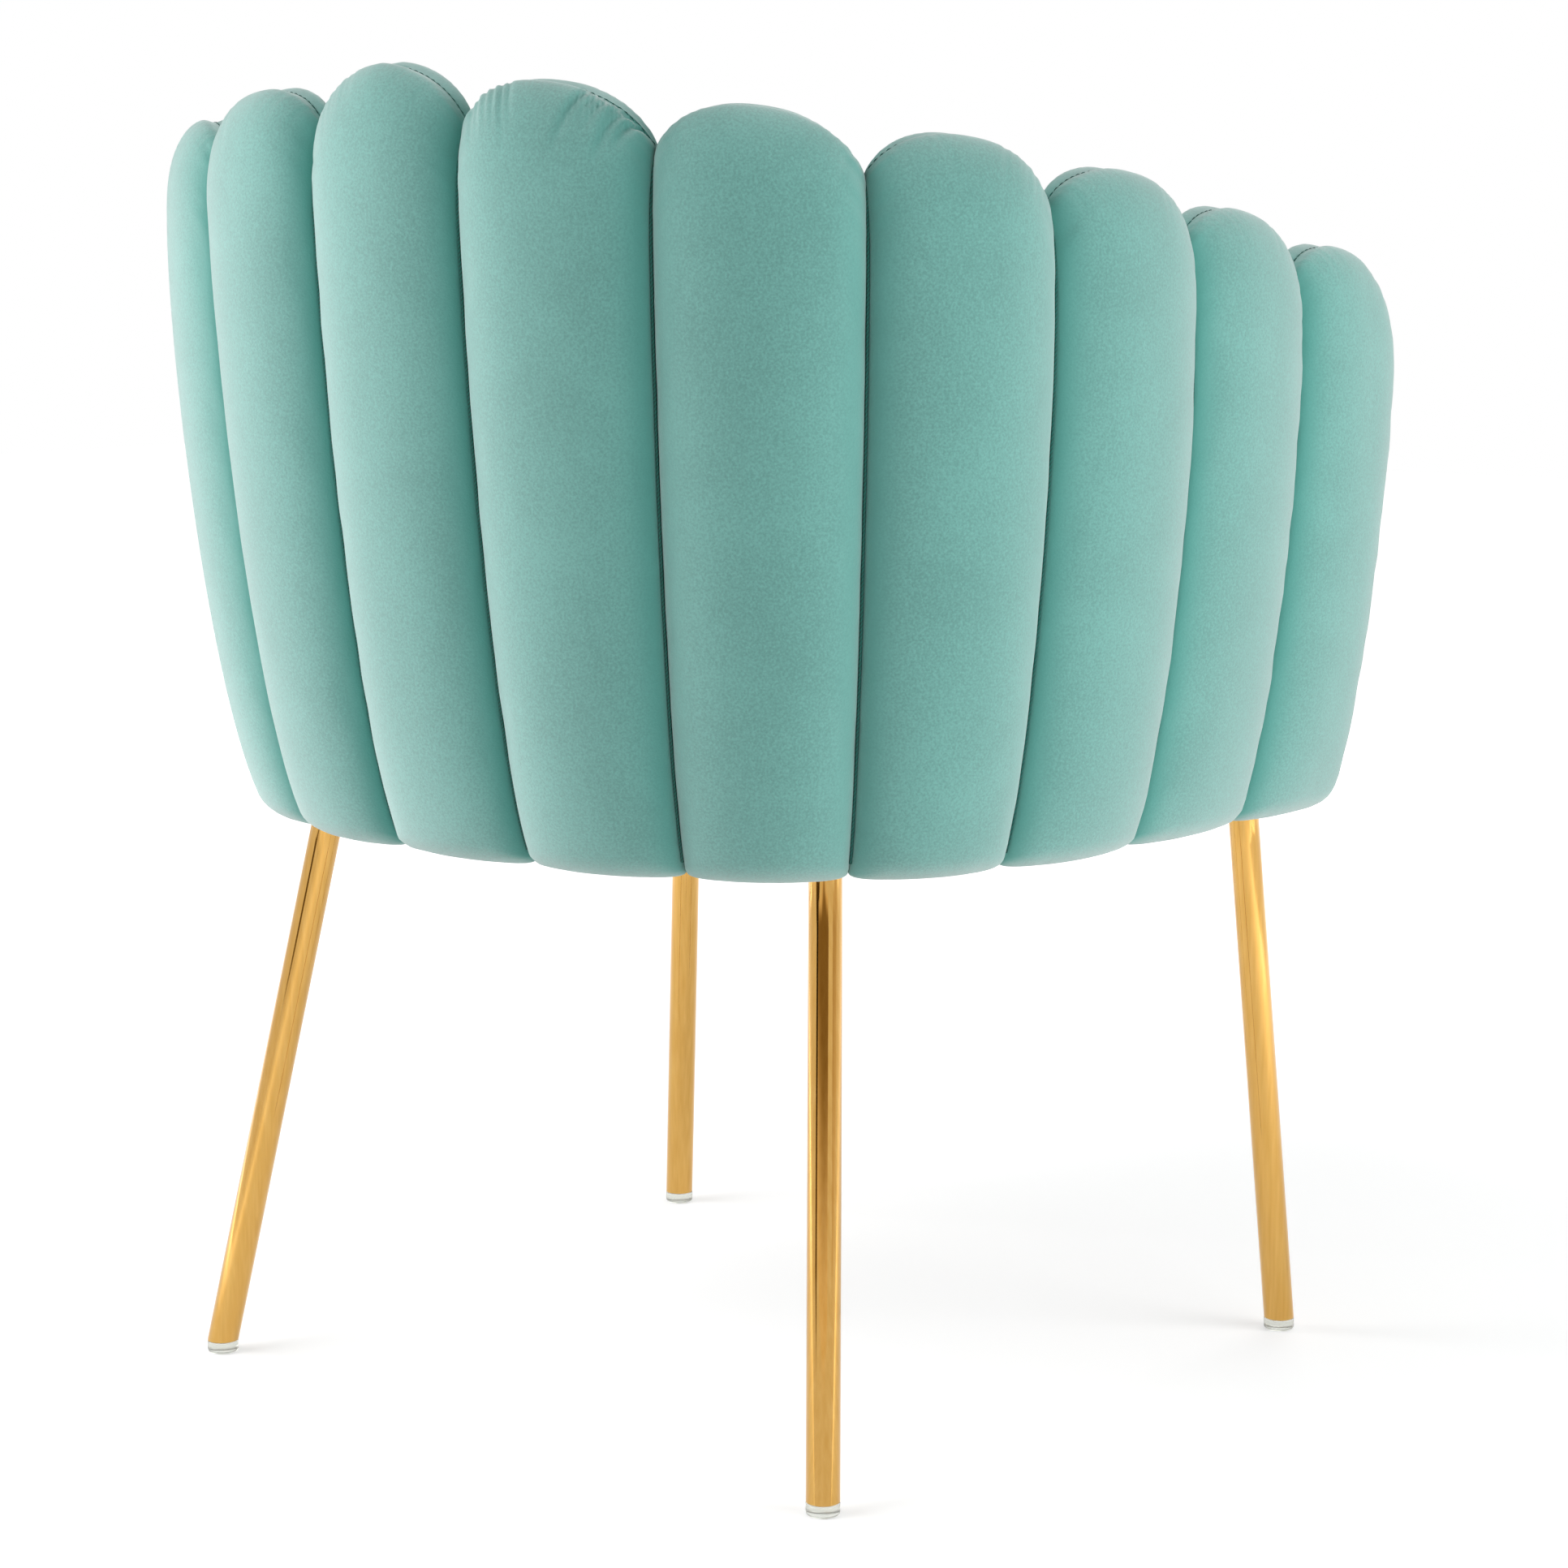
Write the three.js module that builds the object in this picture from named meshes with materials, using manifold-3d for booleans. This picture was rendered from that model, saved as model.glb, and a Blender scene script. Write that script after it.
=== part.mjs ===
// Scallop back chair: a flared shell of thirteen padded channels on four splayed tube legs.
// Millimetres, +Z up. The chair faces -Y and stands on z = 0.
import * as THREE from "three";
import { mergeVertices } from "three/addons/utils/BufferGeometryUtils.js";
import Module from "manifold-3d";

const wasm = await Module();
wasm.setup();

// Plan of the wall, measured at the hem on the line that the channel seams follow
const hemHalfWidth = 272;
const hemBackReach = 274;
const bendCentreBehindFeet = -25;
const armLength = 198;
const planPowerShare = 2.55;
const bendShare = 0.687;
const seamShares = [0.079, 0.225, 0.358, 0.496, 0.662, 0.841, 1];

// Flare of the wall from its hem up
const backFlare = 63;
const backFlareRise = 401;
const armFlare = 42;
const armFlareRise = 263;
const flareBowShare = 1.47;
const flareTuckShare = 1.57;

// Heights of the wall
const hemHeight = 337;
const hemLift = 7;
const centreCrestHeight = 775;
const crestFall = 108;
const crestFallPowerShare = 1.17;
const scallopHeight = 54;
const scallopPowerShare = 2.3;
const scallopWidthShare = 0.9;
const shoulderHeight = 50;
const shoulderPowerShare = 2.2;
const shellTopBelowCrest = 52;

// Thickness of the wall, from the outer seam line inwards
const outerCrown = 13;
const outerSeamPad = 8;
const shellThickness = 12;
const innerSeamPad = 10;
const innerCrown = 16;
const crownPowerShare = 2.2;
const armNoseDepth = 22;
const armNoseStep = 1;
const armNoseDrop = 62;
const armNoseEndShare = 0.985;
const armNosePowerShare = 3.2;
const armNoseFacetShares = [0.5, 0.85, 1];
const hemRoundShare = 0.6;
const hemRoundLimit = 20;

// Seat frame
const frameRise = 13;
const railHeight = 42;
const railThickness = 24;
const railJointSeamCount = 3;
const sideRailSetback = 4;
const frontReach = 49;
const frontPowerShare = 3.2;
const frontRailSideClearance = 2;
const blockWidth = 84;
const blockHeight = 34;

// Seat
const apronThickness = 14;
const apronDrop = 12;
const apronEdge = 5;
const apronLip = 10;
const springCount = 4;
const springSpacing = 92;
const springWire = 3.6;
const springSwing = 20;
const springWaveCount = 5;
const springLanding = 7;
const insulatorThickness = 5;
const insulatorMargin = 14;
const insulatorSetback = 2;
const cushionThickness = 72;
const cushionCrown = 10;
const cushionSideClearance = 3;
const cushionSideDraw = 7;
const cushionFrontOverhang = 5;
const cushionTopReach = 120;

// Underside
const dustCoverThickness = 1;
const dustCoverMargin = 1;

// Legs
const tubeDiameter = 19;
const tubeWall = 1.5;
const backFootInset = 35;
const backFootSetback = 23;
const backTopInset = 81;
const backTopSetback = 83;
const frontFootInset = 23;
const frontFootReach = 3;
const frontTopInset = 48;
const frontTopSetback = 14;
const plateSize = 58;
const plateThickness = 3;
const plateInset = 17;
const plateCorner = 8;
const glideHeight = 7;
const glideEdge = 2;
const glideStemLength = 18;
const glideStemSlack = 0.4;

// Screws
const screwDiameter = 6;
const screwLength = 28;
const screwHeadDiameter = 12;
const screwHeadHeight = 3.5;
const screwSpread = 17;
const screwSlack = 0.3;

// Clearances, and the overrun that every cut shares
const touchGap = 0.3;
const padSlack = 0.6;
const cutOverrun = 5;

// Facets
const channelFacetCount = 8;
const wallFacetCount = 40;
const frontFacetCount = 16;
const roundFacetCount = 20;
const screwFacetCount = 12;
const springStepCount = 40;
const springFacetCount = 6;

// Places along a channel's height and on the shell, as shares of the stretch that they divide
const sideHeightShares = [0.09, 0.27, 0.5, 0.76, 1];
const shoulderTurnShares = [0.34, 0.67, 1];
const shellHeightShares = [0, 0.14, 0.42, 1];
const boardLedgeShare = 0.7;
const padBackShares = [1, 0.6, 0.3];
const apronSideShares = [0, 0.5, 1];
const cushionDrawShares = [1, 0.25, 0, 0.25, 1];
const cushionSideHeightShares = [0, 0.16, 0.46, 0.8, 1];
const cushionTopReachShares = [0.1, 0.32, 0.65, 1];
const cushionTopRiseShares = [0.4, 0.78, 0.95, 1];

// Offsets from the outer seam line, inwards negative, worked out from the thicknesses
const shellOuterOffset = -outerSeamPad;
const shellInnerOffset = shellOuterOffset - shellThickness;
const wallMidOffset = (shellOuterOffset + shellInnerOffset) / 2;
const innerSeamOffset = shellInnerOffset - innerSeamPad;
const innerCrownOffset = innerSeamOffset - innerCrown;

// Heights and places worked out from the sizes above
const frameBaseHeight = hemHeight + frameRise;
const deckHeight = frameBaseHeight + railHeight;
const springTopHeight = deckHeight + touchGap + springWire;
const cushionBaseHeight = springTopHeight + touchGap + insulatorThickness + touchGap;
const hemBackPlace = bendCentreBehindFeet + hemBackReach;
const armFrontPlace = bendCentreBehindFeet - armLength;
const channelCount = seamShares.length - 1;
const shellEndShare = armShareAt(armNoseDepth);
const sideRailEndShare = armShareAt(armNoseDepth + sideRailSetback);
const plateTopHeight = frameBaseHeight - 2 * touchGap - dustCoverThickness;
const plateBaseHeight = plateTopHeight - plateThickness;
const screwHeadTopHeight = plateBaseHeight - touchGap;
const railInnerOffset =
  shellInnerOffset + flareAt(wallFoot(1), frameBaseHeight) - touchGap - railThickness;
const armInnerPlace = hemHalfWidth + innerCrownOffset + flareAt(wallFoot(1), frameBaseHeight);
const frontRailHalfLength = armInnerPlace - frontRailSideClearance;
const frontCurveHalfWidth = hemHalfWidth + railInnerOffset - touchGap;
const railReach = frontReach - apronThickness;

// Finishes
function velvet() {
  return new THREE.MeshStandardMaterial({ color: "#74b5ab", roughness: 0.9, metalness: 0 });
}

function goldTube() {
  return new THREE.MeshStandardMaterial({ color: "#cf9a45", roughness: 0.14, metalness: 1 });
}

function clearPlastic() {
  return new THREE.MeshStandardMaterial({
    color: "#d9dcd2",
    roughness: 0.2,
    metalness: 0,
    transparent: true,
    opacity: 0.7,
  });
}

function plywood() {
  return new THREE.MeshStandardMaterial({ color: "#c9a878", roughness: 0.75, metalness: 0 });
}

function hardwood() {
  return new THREE.MeshStandardMaterial({ color: "#b58a5a", roughness: 0.7, metalness: 0 });
}

function springSteel() {
  return new THREE.MeshStandardMaterial({ color: "#7c7f83", roughness: 0.4, metalness: 1 });
}

function zincSteel() {
  return new THREE.MeshStandardMaterial({ color: "#b9bcc0", roughness: 0.35, metalness: 1 });
}

function feltPad() {
  return new THREE.MeshStandardMaterial({ color: "#8d8a84", roughness: 0.95, metalness: 0 });
}

function blackCloth() {
  return new THREE.MeshStandardMaterial({ color: "#1d1d1f", roughness: 0.95, metalness: 0 });
}

// Rounded form that is 1 in the middle and 0 at the ends of a span from -1 to 1
function roundForm(place, powerShare) {
  const rest = 1 - Math.pow(Math.min(Math.abs(place), 1), powerShare);
  return Math.pow(Math.max(rest, 0), 1 / powerShare);
}

// Foot of the wall at the hem for a share from -1 (right arm end) over 0 (back) to 1 (left arm end)
function wallFoot(share) {
  const side = share < 0 ? -1 : 1;
  const reach = Math.abs(share);
  const turn = (Math.min(reach, bendShare) / bendShare) * (Math.PI / 2);
  const across = Math.sin(turn);
  const back = Math.abs(Math.cos(turn));
  const power = planPowerShare;
  const radius = Math.pow(
    Math.pow(across / hemHalfWidth, power) + Math.pow(back / hemBackReach, power),
    -1 / power,
  );
  const straight = (Math.max(reach - bendShare, 0) / (1 - bendShare)) * armLength;
  const out = new THREE.Vector2(
    Math.pow(across, power - 1) / Math.pow(hemHalfWidth, power),
    Math.pow(back, power - 1) / Math.pow(hemBackReach, power),
  ).normalize();
  return {
    place: new THREE.Vector2(side * radius * across, bendCentreBehindFeet + radius * back - straight),
    out: new THREE.Vector2(side * out.x, out.y),
    sideShare: across * across,
    share,
  };
}

// How far the wall has flared out at a height
function flareAt(foot, height) {
  const reach = THREE.MathUtils.lerp(backFlare, armFlare, foot.sideShare);
  const full = THREE.MathUtils.lerp(backFlareRise, armFlareRise, foot.sideShare);
  const rise = THREE.MathUtils.clamp((height - hemHeight) / full, 0, 1);
  return reach * Math.pow(1 - Math.pow(1 - rise, flareBowShare), 1 / flareTuckShare);
}

function crestHeight(share) {
  return centreCrestHeight - crestFall * Math.pow(Math.abs(share), crestFallPowerShare);
}

function shellTopHeight(share) {
  return crestHeight(share) - shellTopBelowCrest;
}

function shellHeights(share) {
  const top = shellTopHeight(share);
  return shellHeightShares.map((part) => THREE.MathUtils.lerp(frameBaseHeight, top, part));
}

// Flare of the shell board, which is straight between its own heights
function shellFlareAt(foot, height) {
  const heights = shellHeights(foot.share);
  if (height <= heights[0]) return flareAt(foot, heights[0]);
  if (height >= heights.at(-1)) return flareAt(foot, heights.at(-1));
  const upper = heights.findIndex((each) => each > height);
  const lower = upper - 1;
  const part = (height - heights[lower]) / (heights[upper] - heights[lower]);
  return THREE.MathUtils.lerp(flareAt(foot, heights[lower]), flareAt(foot, heights[upper]), part);
}

function sectionPoint(foot, offset, height) {
  return new THREE.Vector3(
    foot.place.x + foot.out.x * offset,
    foot.place.y + foot.out.y * offset,
    height,
  );
}

// Point on the soft wall at an offset from the seam line
function wallPoint(foot, offset, height) {
  return sectionPoint(foot, offset + flareAt(foot, height), height);
}

// Point beside the shell board at an offset from the seam line
function boardPoint(foot, offset, height) {
  return sectionPoint(foot, offset + shellFlareAt(foot, height), height);
}

function geometryOf(points, faces) {
  const geometry = new THREE.BufferGeometry();
  geometry.setAttribute(
    "position",
    new THREE.Float32BufferAttribute(points.flatMap((point) => [point.x, point.y, point.z]), 3),
  );
  geometry.setIndex(faces.flat());
  return geometry;
}

function signedVolume(points, faces) {
  const normal = new THREE.Vector3();
  return faces.reduce(
    (sum, [a, b, c]) => sum + points[a].dot(normal.crossVectors(points[b], points[c])),
    0,
  );
}

// Closed skin over rings that all have the same number of points. Its flat ends are cut into
// triangles as they are, or fanned from their middles
function loft(rings, fanned = false) {
  const size = rings[0].length;
  const points = rings.flat();
  const faces = [];
  for (let ring = 0; ring < rings.length - 1; ring++) {
    for (let i = 0; i < size; i++) {
      const next = (i + 1) % size;
      const here = ring * size;
      const there = here + size;
      faces.push([here + i, there + next, here + next]);
      faces.push([here + i, there + i, there + next]);
    }
  }
  const last = (rings.length - 1) * size;
  if (fanned) {
    points.push(middleOf(rings[0]), middleOf(rings.at(-1)));
    for (let i = 0; i < size; i++) {
      const next = (i + 1) % size;
      faces.push([i, next, points.length - 2], [last + next, last + i, points.length - 1]);
    }
  } else {
    endFaces(rings[0]).forEach(([a, b, c]) => faces.push([a, b, c]));
    endFaces(rings.at(-1)).forEach(([a, b, c]) => faces.push([last + a, last + c, last + b]));
  }
  if (signedVolume(points, faces) < 0) faces.forEach((face) => face.reverse());
  return geometryOf(points, faces);
}

function middleOf(ring) {
  const sum = ring.reduce((total, point) => total.add(point), new THREE.Vector3());
  return sum.divideScalar(ring.length);
}

// Triangles of a flat ring, with their edges running the way that its points do
function endFaces(ring) {
  const normal = new THREE.Vector3();
  ring.forEach((point, i) => {
    normal.add(new THREE.Vector3().crossVectors(point, ring[(i + 1) % ring.length]));
  });
  const level = Math.abs(normal.z) > Math.hypot(normal.x, normal.y);
  const across = new THREE.Vector3(-normal.y, normal.x, 0).normalize();
  const flat = ring.map((point) =>
    level ? new THREE.Vector2(point.x, point.y) : new THREE.Vector2(point.dot(across), point.z),
  );
  const area = THREE.ShapeUtils.area(flat);
  return THREE.ShapeUtils.triangulateShape(flat, []).map(([a, b, c]) => {
    const cross = flat[b].clone().sub(flat[a]).cross(flat[c].clone().sub(flat[a]));
    return cross * area > 0 ? [a, b, c] : [a, c, b];
  });
}

// Solids for joins and cuts
function solidOf(geometry) {
  const bare = geometry.clone();
  bare.deleteAttribute("normal");
  bare.deleteAttribute("uv");
  const merged = mergeVertices(bare);
  return new wasm.Manifold(
    new wasm.Mesh({
      numProp: 3,
      vertProperties: new Float32Array(merged.attributes.position.array),
      triVerts: new Uint32Array(merged.index.array),
    }),
  );
}

function geometryOfSolid(solid) {
  const mesh = solid.getMesh();
  const geometry = new THREE.BufferGeometry();
  geometry.setAttribute("position", new THREE.BufferAttribute(mesh.vertProperties, mesh.numProp));
  geometry.setIndex(new THREE.BufferAttribute(mesh.triVerts, 1));
  return geometry;
}

// Upright prism over a plan outline
function prism(outline, base, height) {
  const ringAt = (level) => outline.map((point) => new THREE.Vector3(point.x, point.y, level));
  return loft([ringAt(base), ringAt(base + height)], true);
}

function drum(diameter, base, height, place, facets) {
  const geometry = new THREE.CylinderGeometry(diameter / 2, diameter / 2, height, facets);
  geometry.rotateX(Math.PI / 2);
  return geometry.translate(place.x, place.y, base + height / 2);
}

const chair = new THREE.Group();
chair.name = "scallop_back_chair";

function addPiece(name, geometry, material) {
  geometry.computeVertexNormals();
  const mesh = new THREE.Mesh(geometry, material);
  mesh.name = name;
  chair.add(mesh);
  return mesh;
}

// Channels, counted from -6 at the right arm end over 0 at the back to 6 at the left arm end
function channelSpan(channel) {
  if (channel === 0) return [-seamShares[0], seamShares[0]];
  const near = seamShares[Math.abs(channel) - 1];
  const far = seamShares[Math.abs(channel)];
  return channel > 0 ? [near, far] : [-far, -near];
}

// Share of the wall at a distance behind the arm's front end
function armShareAt(setback) {
  return 1 - (setback / armLength) * (1 - bendShare);
}

function isNose(channel, place) {
  return Math.abs(channel) === channelCount && Math.sign(channel) * place > 0;
}

// Place across the end channel, from -1 at its seam to 1 at the nose, for a share of the wall
function endPlaceAt(share) {
  const near = seamShares[channelCount - 1];
  const far = seamShares[channelCount];
  return (2 * (share - near)) / (far - near) - 1;
}

function seamedPlaces() {
  const places = [];
  for (let i = 0; i <= channelFacetCount; i++) {
    places.push(Math.sin(Math.PI * (i / channelFacetCount - 1 / 2)));
  }
  return places;
}

// Places of an end channel up to the board's end, where they stop short of it
function boardedPlaces() {
  const end = endPlaceAt(shellEndShare);
  const room = endPlaceAt(armShareAt(armNoseDepth / 2)) - end;
  return seamedPlaces().filter((place) => place < end - room);
}

function turnedFor(channel, places) {
  return channel > 0 ? places : places.map((place) => -place).reverse();
}

// Places of a channel's rings from -1 to 1, closer together at its seams
function padPlaces(channel) {
  if (Math.abs(channel) !== channelCount) return seamedPlaces();
  const clear = endPlaceAt(armShareAt(armNoseDepth - touchGap));
  const past = endPlaceAt(armShareAt(armNoseDepth - armNoseStep));
  const nose = armNoseFacetShares.map((part) => THREE.MathUtils.lerp(past, armNoseEndShare, part));
  return turnedFor(channel, [...boardedPlaces(), clear, past, ...nose]);
}

function boardPlaces(channel) {
  if (Math.abs(channel) !== channelCount) return seamedPlaces();
  return turnedFor(channel, [...boardedPlaces(), endPlaceAt(shellEndShare)]);
}

function shareOfChannel(channel, place) {
  const [low, high] = channelSpan(channel);
  return THREE.MathUtils.lerp(low, high, (place + 1) / 2);
}

// Foot drawn back along the wall, so that neighbours keep their gap at a seam
function shortenedFoot(share, direction) {
  const foot = wallFoot(share);
  const along = new THREE.Vector2(foot.out.y, -foot.out.x);
  foot.place.addScaledVector(along, (direction * touchGap) / 2);
  return foot;
}

function padFoot(channel, place) {
  const share = shareOfChannel(channel, place);
  return Math.abs(place) === 1 ? shortenedFoot(share, -place) : wallFoot(share);
}

// Top of a channel: its scallop on a crest line that falls towards the arms
function topHeightOf(channel, place) {
  const crest = crestHeight(shareOfChannel(channel, place));
  if (isNose(channel, place)) return crest - armNoseDrop * (1 - roundForm(place, scallopPowerShare));
  return crest - scallopHeight * (1 - roundForm(place * scallopWidthShare, scallopPowerShare));
}

// How far a channel swells at a place, fuller towards an arm's front end
function swellAt(channel, place) {
  return roundForm(place, isNose(channel, place) ? armNosePowerShare : crownPowerShare);
}

// Lower edge of the wall, a little higher at the seams
function hemHeightAt(form) {
  return hemHeight + hemLift * (1 - form);
}

function isPastBoard(channel, place) {
  const past = endPlaceAt(armShareAt(armNoseDepth - armNoseStep));
  return Math.abs(channel) === channelCount && Math.sign(channel) * place >= past;
}

// Section of a pad: up its skin, over the shoulder to the crest seam, and down the board
function padRing(foot, { skin, back, seam, top, bottom, boardHeights }) {
  const skinAt = (height) => skin + flareAt(foot, height);
  const backFoot = back + shellFlareAt(foot, bottom);
  const thickness = skinAt(bottom) - backFoot;
  const round = hemRoundShare * Math.min(Math.abs(thickness), hemRoundLimit);
  const shoulder = top - shoulderHeight;
  const ring = [
    sectionPoint(foot, backFoot, bottom),
    sectionPoint(foot, skinAt(bottom) - Math.sign(thickness) * round, bottom),
  ];
  sideHeightShares.forEach((part) => {
    ring.push(wallPoint(foot, skin, THREE.MathUtils.lerp(bottom + round, shoulder, part)));
  });
  shoulderTurnShares.forEach((part) => {
    const turn = (part * Math.PI) / 2;
    const rise = Math.pow(Math.sin(turn), 2 / shoulderPowerShare);
    const reach = part === 1 ? 0 : Math.pow(Math.cos(turn), 2 / shoulderPowerShare);
    const height = shoulder + shoulderHeight * rise;
    ring.push(wallPoint(foot, seam + (skin - seam) * reach, height));
  });
  const ledge = shellTopHeight(foot.share) + touchGap;
  const under = THREE.MathUtils.lerp(boardHeights[0], ledge, boardLedgeShare);
  ring.push(boardPoint(foot, seam, ledge));
  ring.push(boardPoint(foot, back, back === seam ? under : ledge));
  boardHeights.forEach((height) => ring.push(boardPoint(foot, back, height)));
  return ring;
}

function outerPadRing(channel, place) {
  const foot = padFoot(channel, place);
  const form = swellAt(channel, place);
  const seam = wallMidOffset + touchGap / 2;
  const seamSkin = isNose(channel, place) ? wallMidOffset : 0;
  return padRing(foot, {
    skin: seamSkin + (outerCrown - seamSkin) * form,
    back: isPastBoard(channel, place) ? seam : shellOuterOffset + padSlack,
    seam,
    top: topHeightOf(channel, place),
    bottom: hemHeightAt(form),
    boardHeights: shellHeights(foot.share).slice(0, -1).reverse(),
  });
}

function innerPadRing(channel, place) {
  const foot = padFoot(channel, place);
  const form = swellAt(channel, place);
  const seam = wallMidOffset - touchGap / 2;
  const pastBoard = isPastBoard(channel, place);
  const seamSkin = isNose(channel, place) ? wallMidOffset : innerSeamOffset;
  const bottom = pastBoard ? hemHeightAt(form) : deckHeight + touchGap;
  const heights = shellHeights(foot.share).slice(0, -1);
  const backHeight = (part) => THREE.MathUtils.lerp(bottom, heights.at(-1), part);
  return padRing(foot, {
    skin: seamSkin + (innerCrownOffset - seamSkin) * form,
    back: pastBoard ? seam : shellInnerOffset - padSlack,
    seam,
    top: topHeightOf(channel, place),
    bottom,
    boardHeights: pastBoard ? heights.reverse() : padBackShares.map(backHeight),
  });
}

function addChannels() {
  for (let channel = -channelCount; channel <= channelCount; channel++) {
    const number = String(channel + channelCount + 1).padStart(2, "0");
    const places = padPlaces(channel);
    const outer = loft(places.map((place) => outerPadRing(channel, place)));
    const inner = loft(places.map((place) => innerPadRing(channel, place)));
    addPiece(`outer_channel_${number}`, outer, velvet());
    addPiece(`inner_channel_${number}`, inner, velvet());
  }
}

// Shares of the wall at which the board, and the rails on it, have their rings
function boardShares() {
  const shares = [];
  for (let channel = -channelCount; channel <= channelCount; channel++) {
    boardPlaces(channel).forEach((place) => {
      if (place > -1 || channel === -channelCount) shares.push(shareOfChannel(channel, place));
    });
  }
  return shares;
}

function addBackBoard() {
  const rings = boardShares().map((share) => {
    const foot = wallFoot(share);
    const heights = shellHeights(share);
    const outer = heights.map((height) => boardPoint(foot, shellOuterOffset, height));
    const inner = heights.map((height) => boardPoint(foot, shellInnerOffset, height));
    return [...outer, ...inner.reverse()];
  });
  addPiece("bent_ply_shell", loft(rings), plywood());
}

// Seat frame
function railRing(foot) {
  const outer = shellInnerOffset - padSlack;
  return [
    boardPoint(foot, outer, frameBaseHeight),
    boardPoint(foot, outer, deckHeight),
    sectionPoint(foot, railInnerOffset, deckHeight),
    sectionPoint(foot, railInnerOffset, frameBaseHeight),
  ];
}

function railBetween(low, high) {
  const middle = boardShares().filter((share) => share > low && share < high);
  const feet = [shortenedFoot(low, 1), ...middle.map(wallFoot), shortenedFoot(high, -1)];
  return loft(feet.map(railRing));
}

// Places along the bowed front: x, and how far the bow reaches there as a share of its depth
function frontStations(halfWidth) {
  const stations = [];
  for (let i = 0; i <= frontFacetCount; i++) {
    const turn = (Math.PI * i) / frontFacetCount;
    const across = Math.cos(turn);
    const x = halfWidth * Math.sign(across) * Math.pow(Math.abs(across), 2 / frontPowerShare);
    stations.push({ x, reachShare: Math.pow(Math.abs(Math.sin(turn)), 2 / frontPowerShare) });
  }
  return stations;
}

function frontPlaceAt(x, reach) {
  return armFrontPlace - reach * roundForm(x / frontCurveHalfWidth, frontPowerShare);
}

function frontRailStations() {
  const inside = frontStations(frontCurveHalfWidth)
    .map((station) => station.x)
    .filter((x) => Math.abs(x) < frontRailHalfLength);
  return [frontRailHalfLength, ...inside, -frontRailHalfLength];
}

function addFrontRail() {
  const rings = frontRailStations().map((x) => {
    const face = frontPlaceAt(x, railReach);
    return [
      new THREE.Vector3(x, face, frameBaseHeight),
      new THREE.Vector3(x, face, deckHeight),
      new THREE.Vector3(x, face + railThickness, deckHeight),
      new THREE.Vector3(x, face + railThickness, frameBaseHeight),
    ];
  });
  addPiece("front_rail", loft(rings), hardwood());
}

function addSeatFrame() {
  const joint = seamShares[railJointSeamCount];
  addPiece("back_rail", railBetween(-joint, joint), hardwood());
  addPiece("right_side_rail", railBetween(-sideRailEndShare, -joint), hardwood());
  addPiece("left_side_rail", railBetween(joint, sideRailEndShare), hardwood());
  addFrontRail();
}

// Closed plan outline: the wall's line moved by an offset that may change along it, and a bowed
// front that starts a setback behind the arms' front ends
function seatOutline(offsetAt, reach, setback) {
  const end = armShareAt(setback);
  const outline = [];
  for (let i = 0; i <= wallFacetCount; i++) {
    const foot = wallFoot(THREE.MathUtils.lerp(-end, end, i / wallFacetCount));
    outline.push(foot.place.clone().addScaledVector(foot.out, offsetAt(foot)));
  }
  if (reach === 0) return outline.reverse();
  frontStations(outline.at(-1).x)
    .slice(1, -1)
    .forEach(({ x, reachShare }) => {
      outline.push(new THREE.Vector2(x, armFrontPlace + setback - reach * reachShare));
    });
  return outline.reverse();
}

// Legs: each end of the tube's centre line, and the side signs of its corner
const legs = [
  { name: "back_right", side: -1, end: 1 },
  { name: "back_left", side: 1, end: 1 },
  { name: "front_right", side: -1, end: -1 },
  { name: "front_left", side: 1, end: -1 },
].map((leg) => {
  const isBack = leg.end > 0;
  const foot = new THREE.Vector3(
    leg.side * (hemHalfWidth - (isBack ? backFootInset : frontFootInset)),
    isBack ? hemBackPlace - backFootSetback : armFrontPlace - frontFootReach,
    0,
  );
  const top = new THREE.Vector3(
    leg.side * (hemHalfWidth - (isBack ? backTopInset : frontTopInset)),
    isBack ? hemBackPlace - backTopSetback : armFrontPlace + frontTopSetback,
    plateBaseHeight,
  );
  const plate = new THREE.Vector2(top.x - leg.side * plateInset, top.y - leg.end * plateInset);
  const screws = [
    new THREE.Vector2(plate.x - leg.side * screwSpread, plate.y + leg.end * screwSpread),
    new THREE.Vector2(plate.x + leg.side * screwSpread, plate.y - leg.end * screwSpread),
  ];
  return { ...leg, foot, top, plate, screws };
});

// Round bar along a leg's centre line, cut level at two heights
function levelBar(leg, diameter, low, high) {
  const axis = leg.top.clone().sub(leg.foot);
  const length = axis.length() + 2 * tubeDiameter;
  const bar = new THREE.CylinderGeometry(diameter / 2, diameter / 2, length, roundFacetCount);
  bar.applyQuaternion(
    new THREE.Quaternion().setFromUnitVectors(new THREE.Vector3(0, 1, 0), axis.clone().normalize()),
  );
  const middle = leg.foot.clone().add(leg.top).multiplyScalar(1 / 2);
  bar.translate(middle.x, middle.y, middle.z);
  const span = Math.hypot(axis.x, axis.y) + 2 * tubeDiameter;
  const slab = new THREE.BoxGeometry(2 * span, 2 * span, high - low);
  slab.translate(middle.x, middle.y, (low + high) / 2);
  return solidOf(bar).intersect(solidOf(slab));
}

function rectangleAround(place, size, corner) {
  const half = size / 2;
  const near = half - corner;
  return [
    [near, half],
    [-near, half],
    [-half, near],
    [-half, -near],
    [-near, -half],
    [near, -half],
    [half, -near],
    [half, near],
  ].map(([x, y]) => new THREE.Vector2(place.x + x, place.y + y));
}

// Clearance holes for a leg's screws
function cutHoles(body, leg, base, height) {
  const diameter = screwDiameter + 2 * screwSlack;
  return leg.screws
    .map((place) => solidOf(drum(diameter, base, height, place, screwFacetCount)))
    .reduce((rest, hole) => rest.subtract(hole), body);
}

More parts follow.
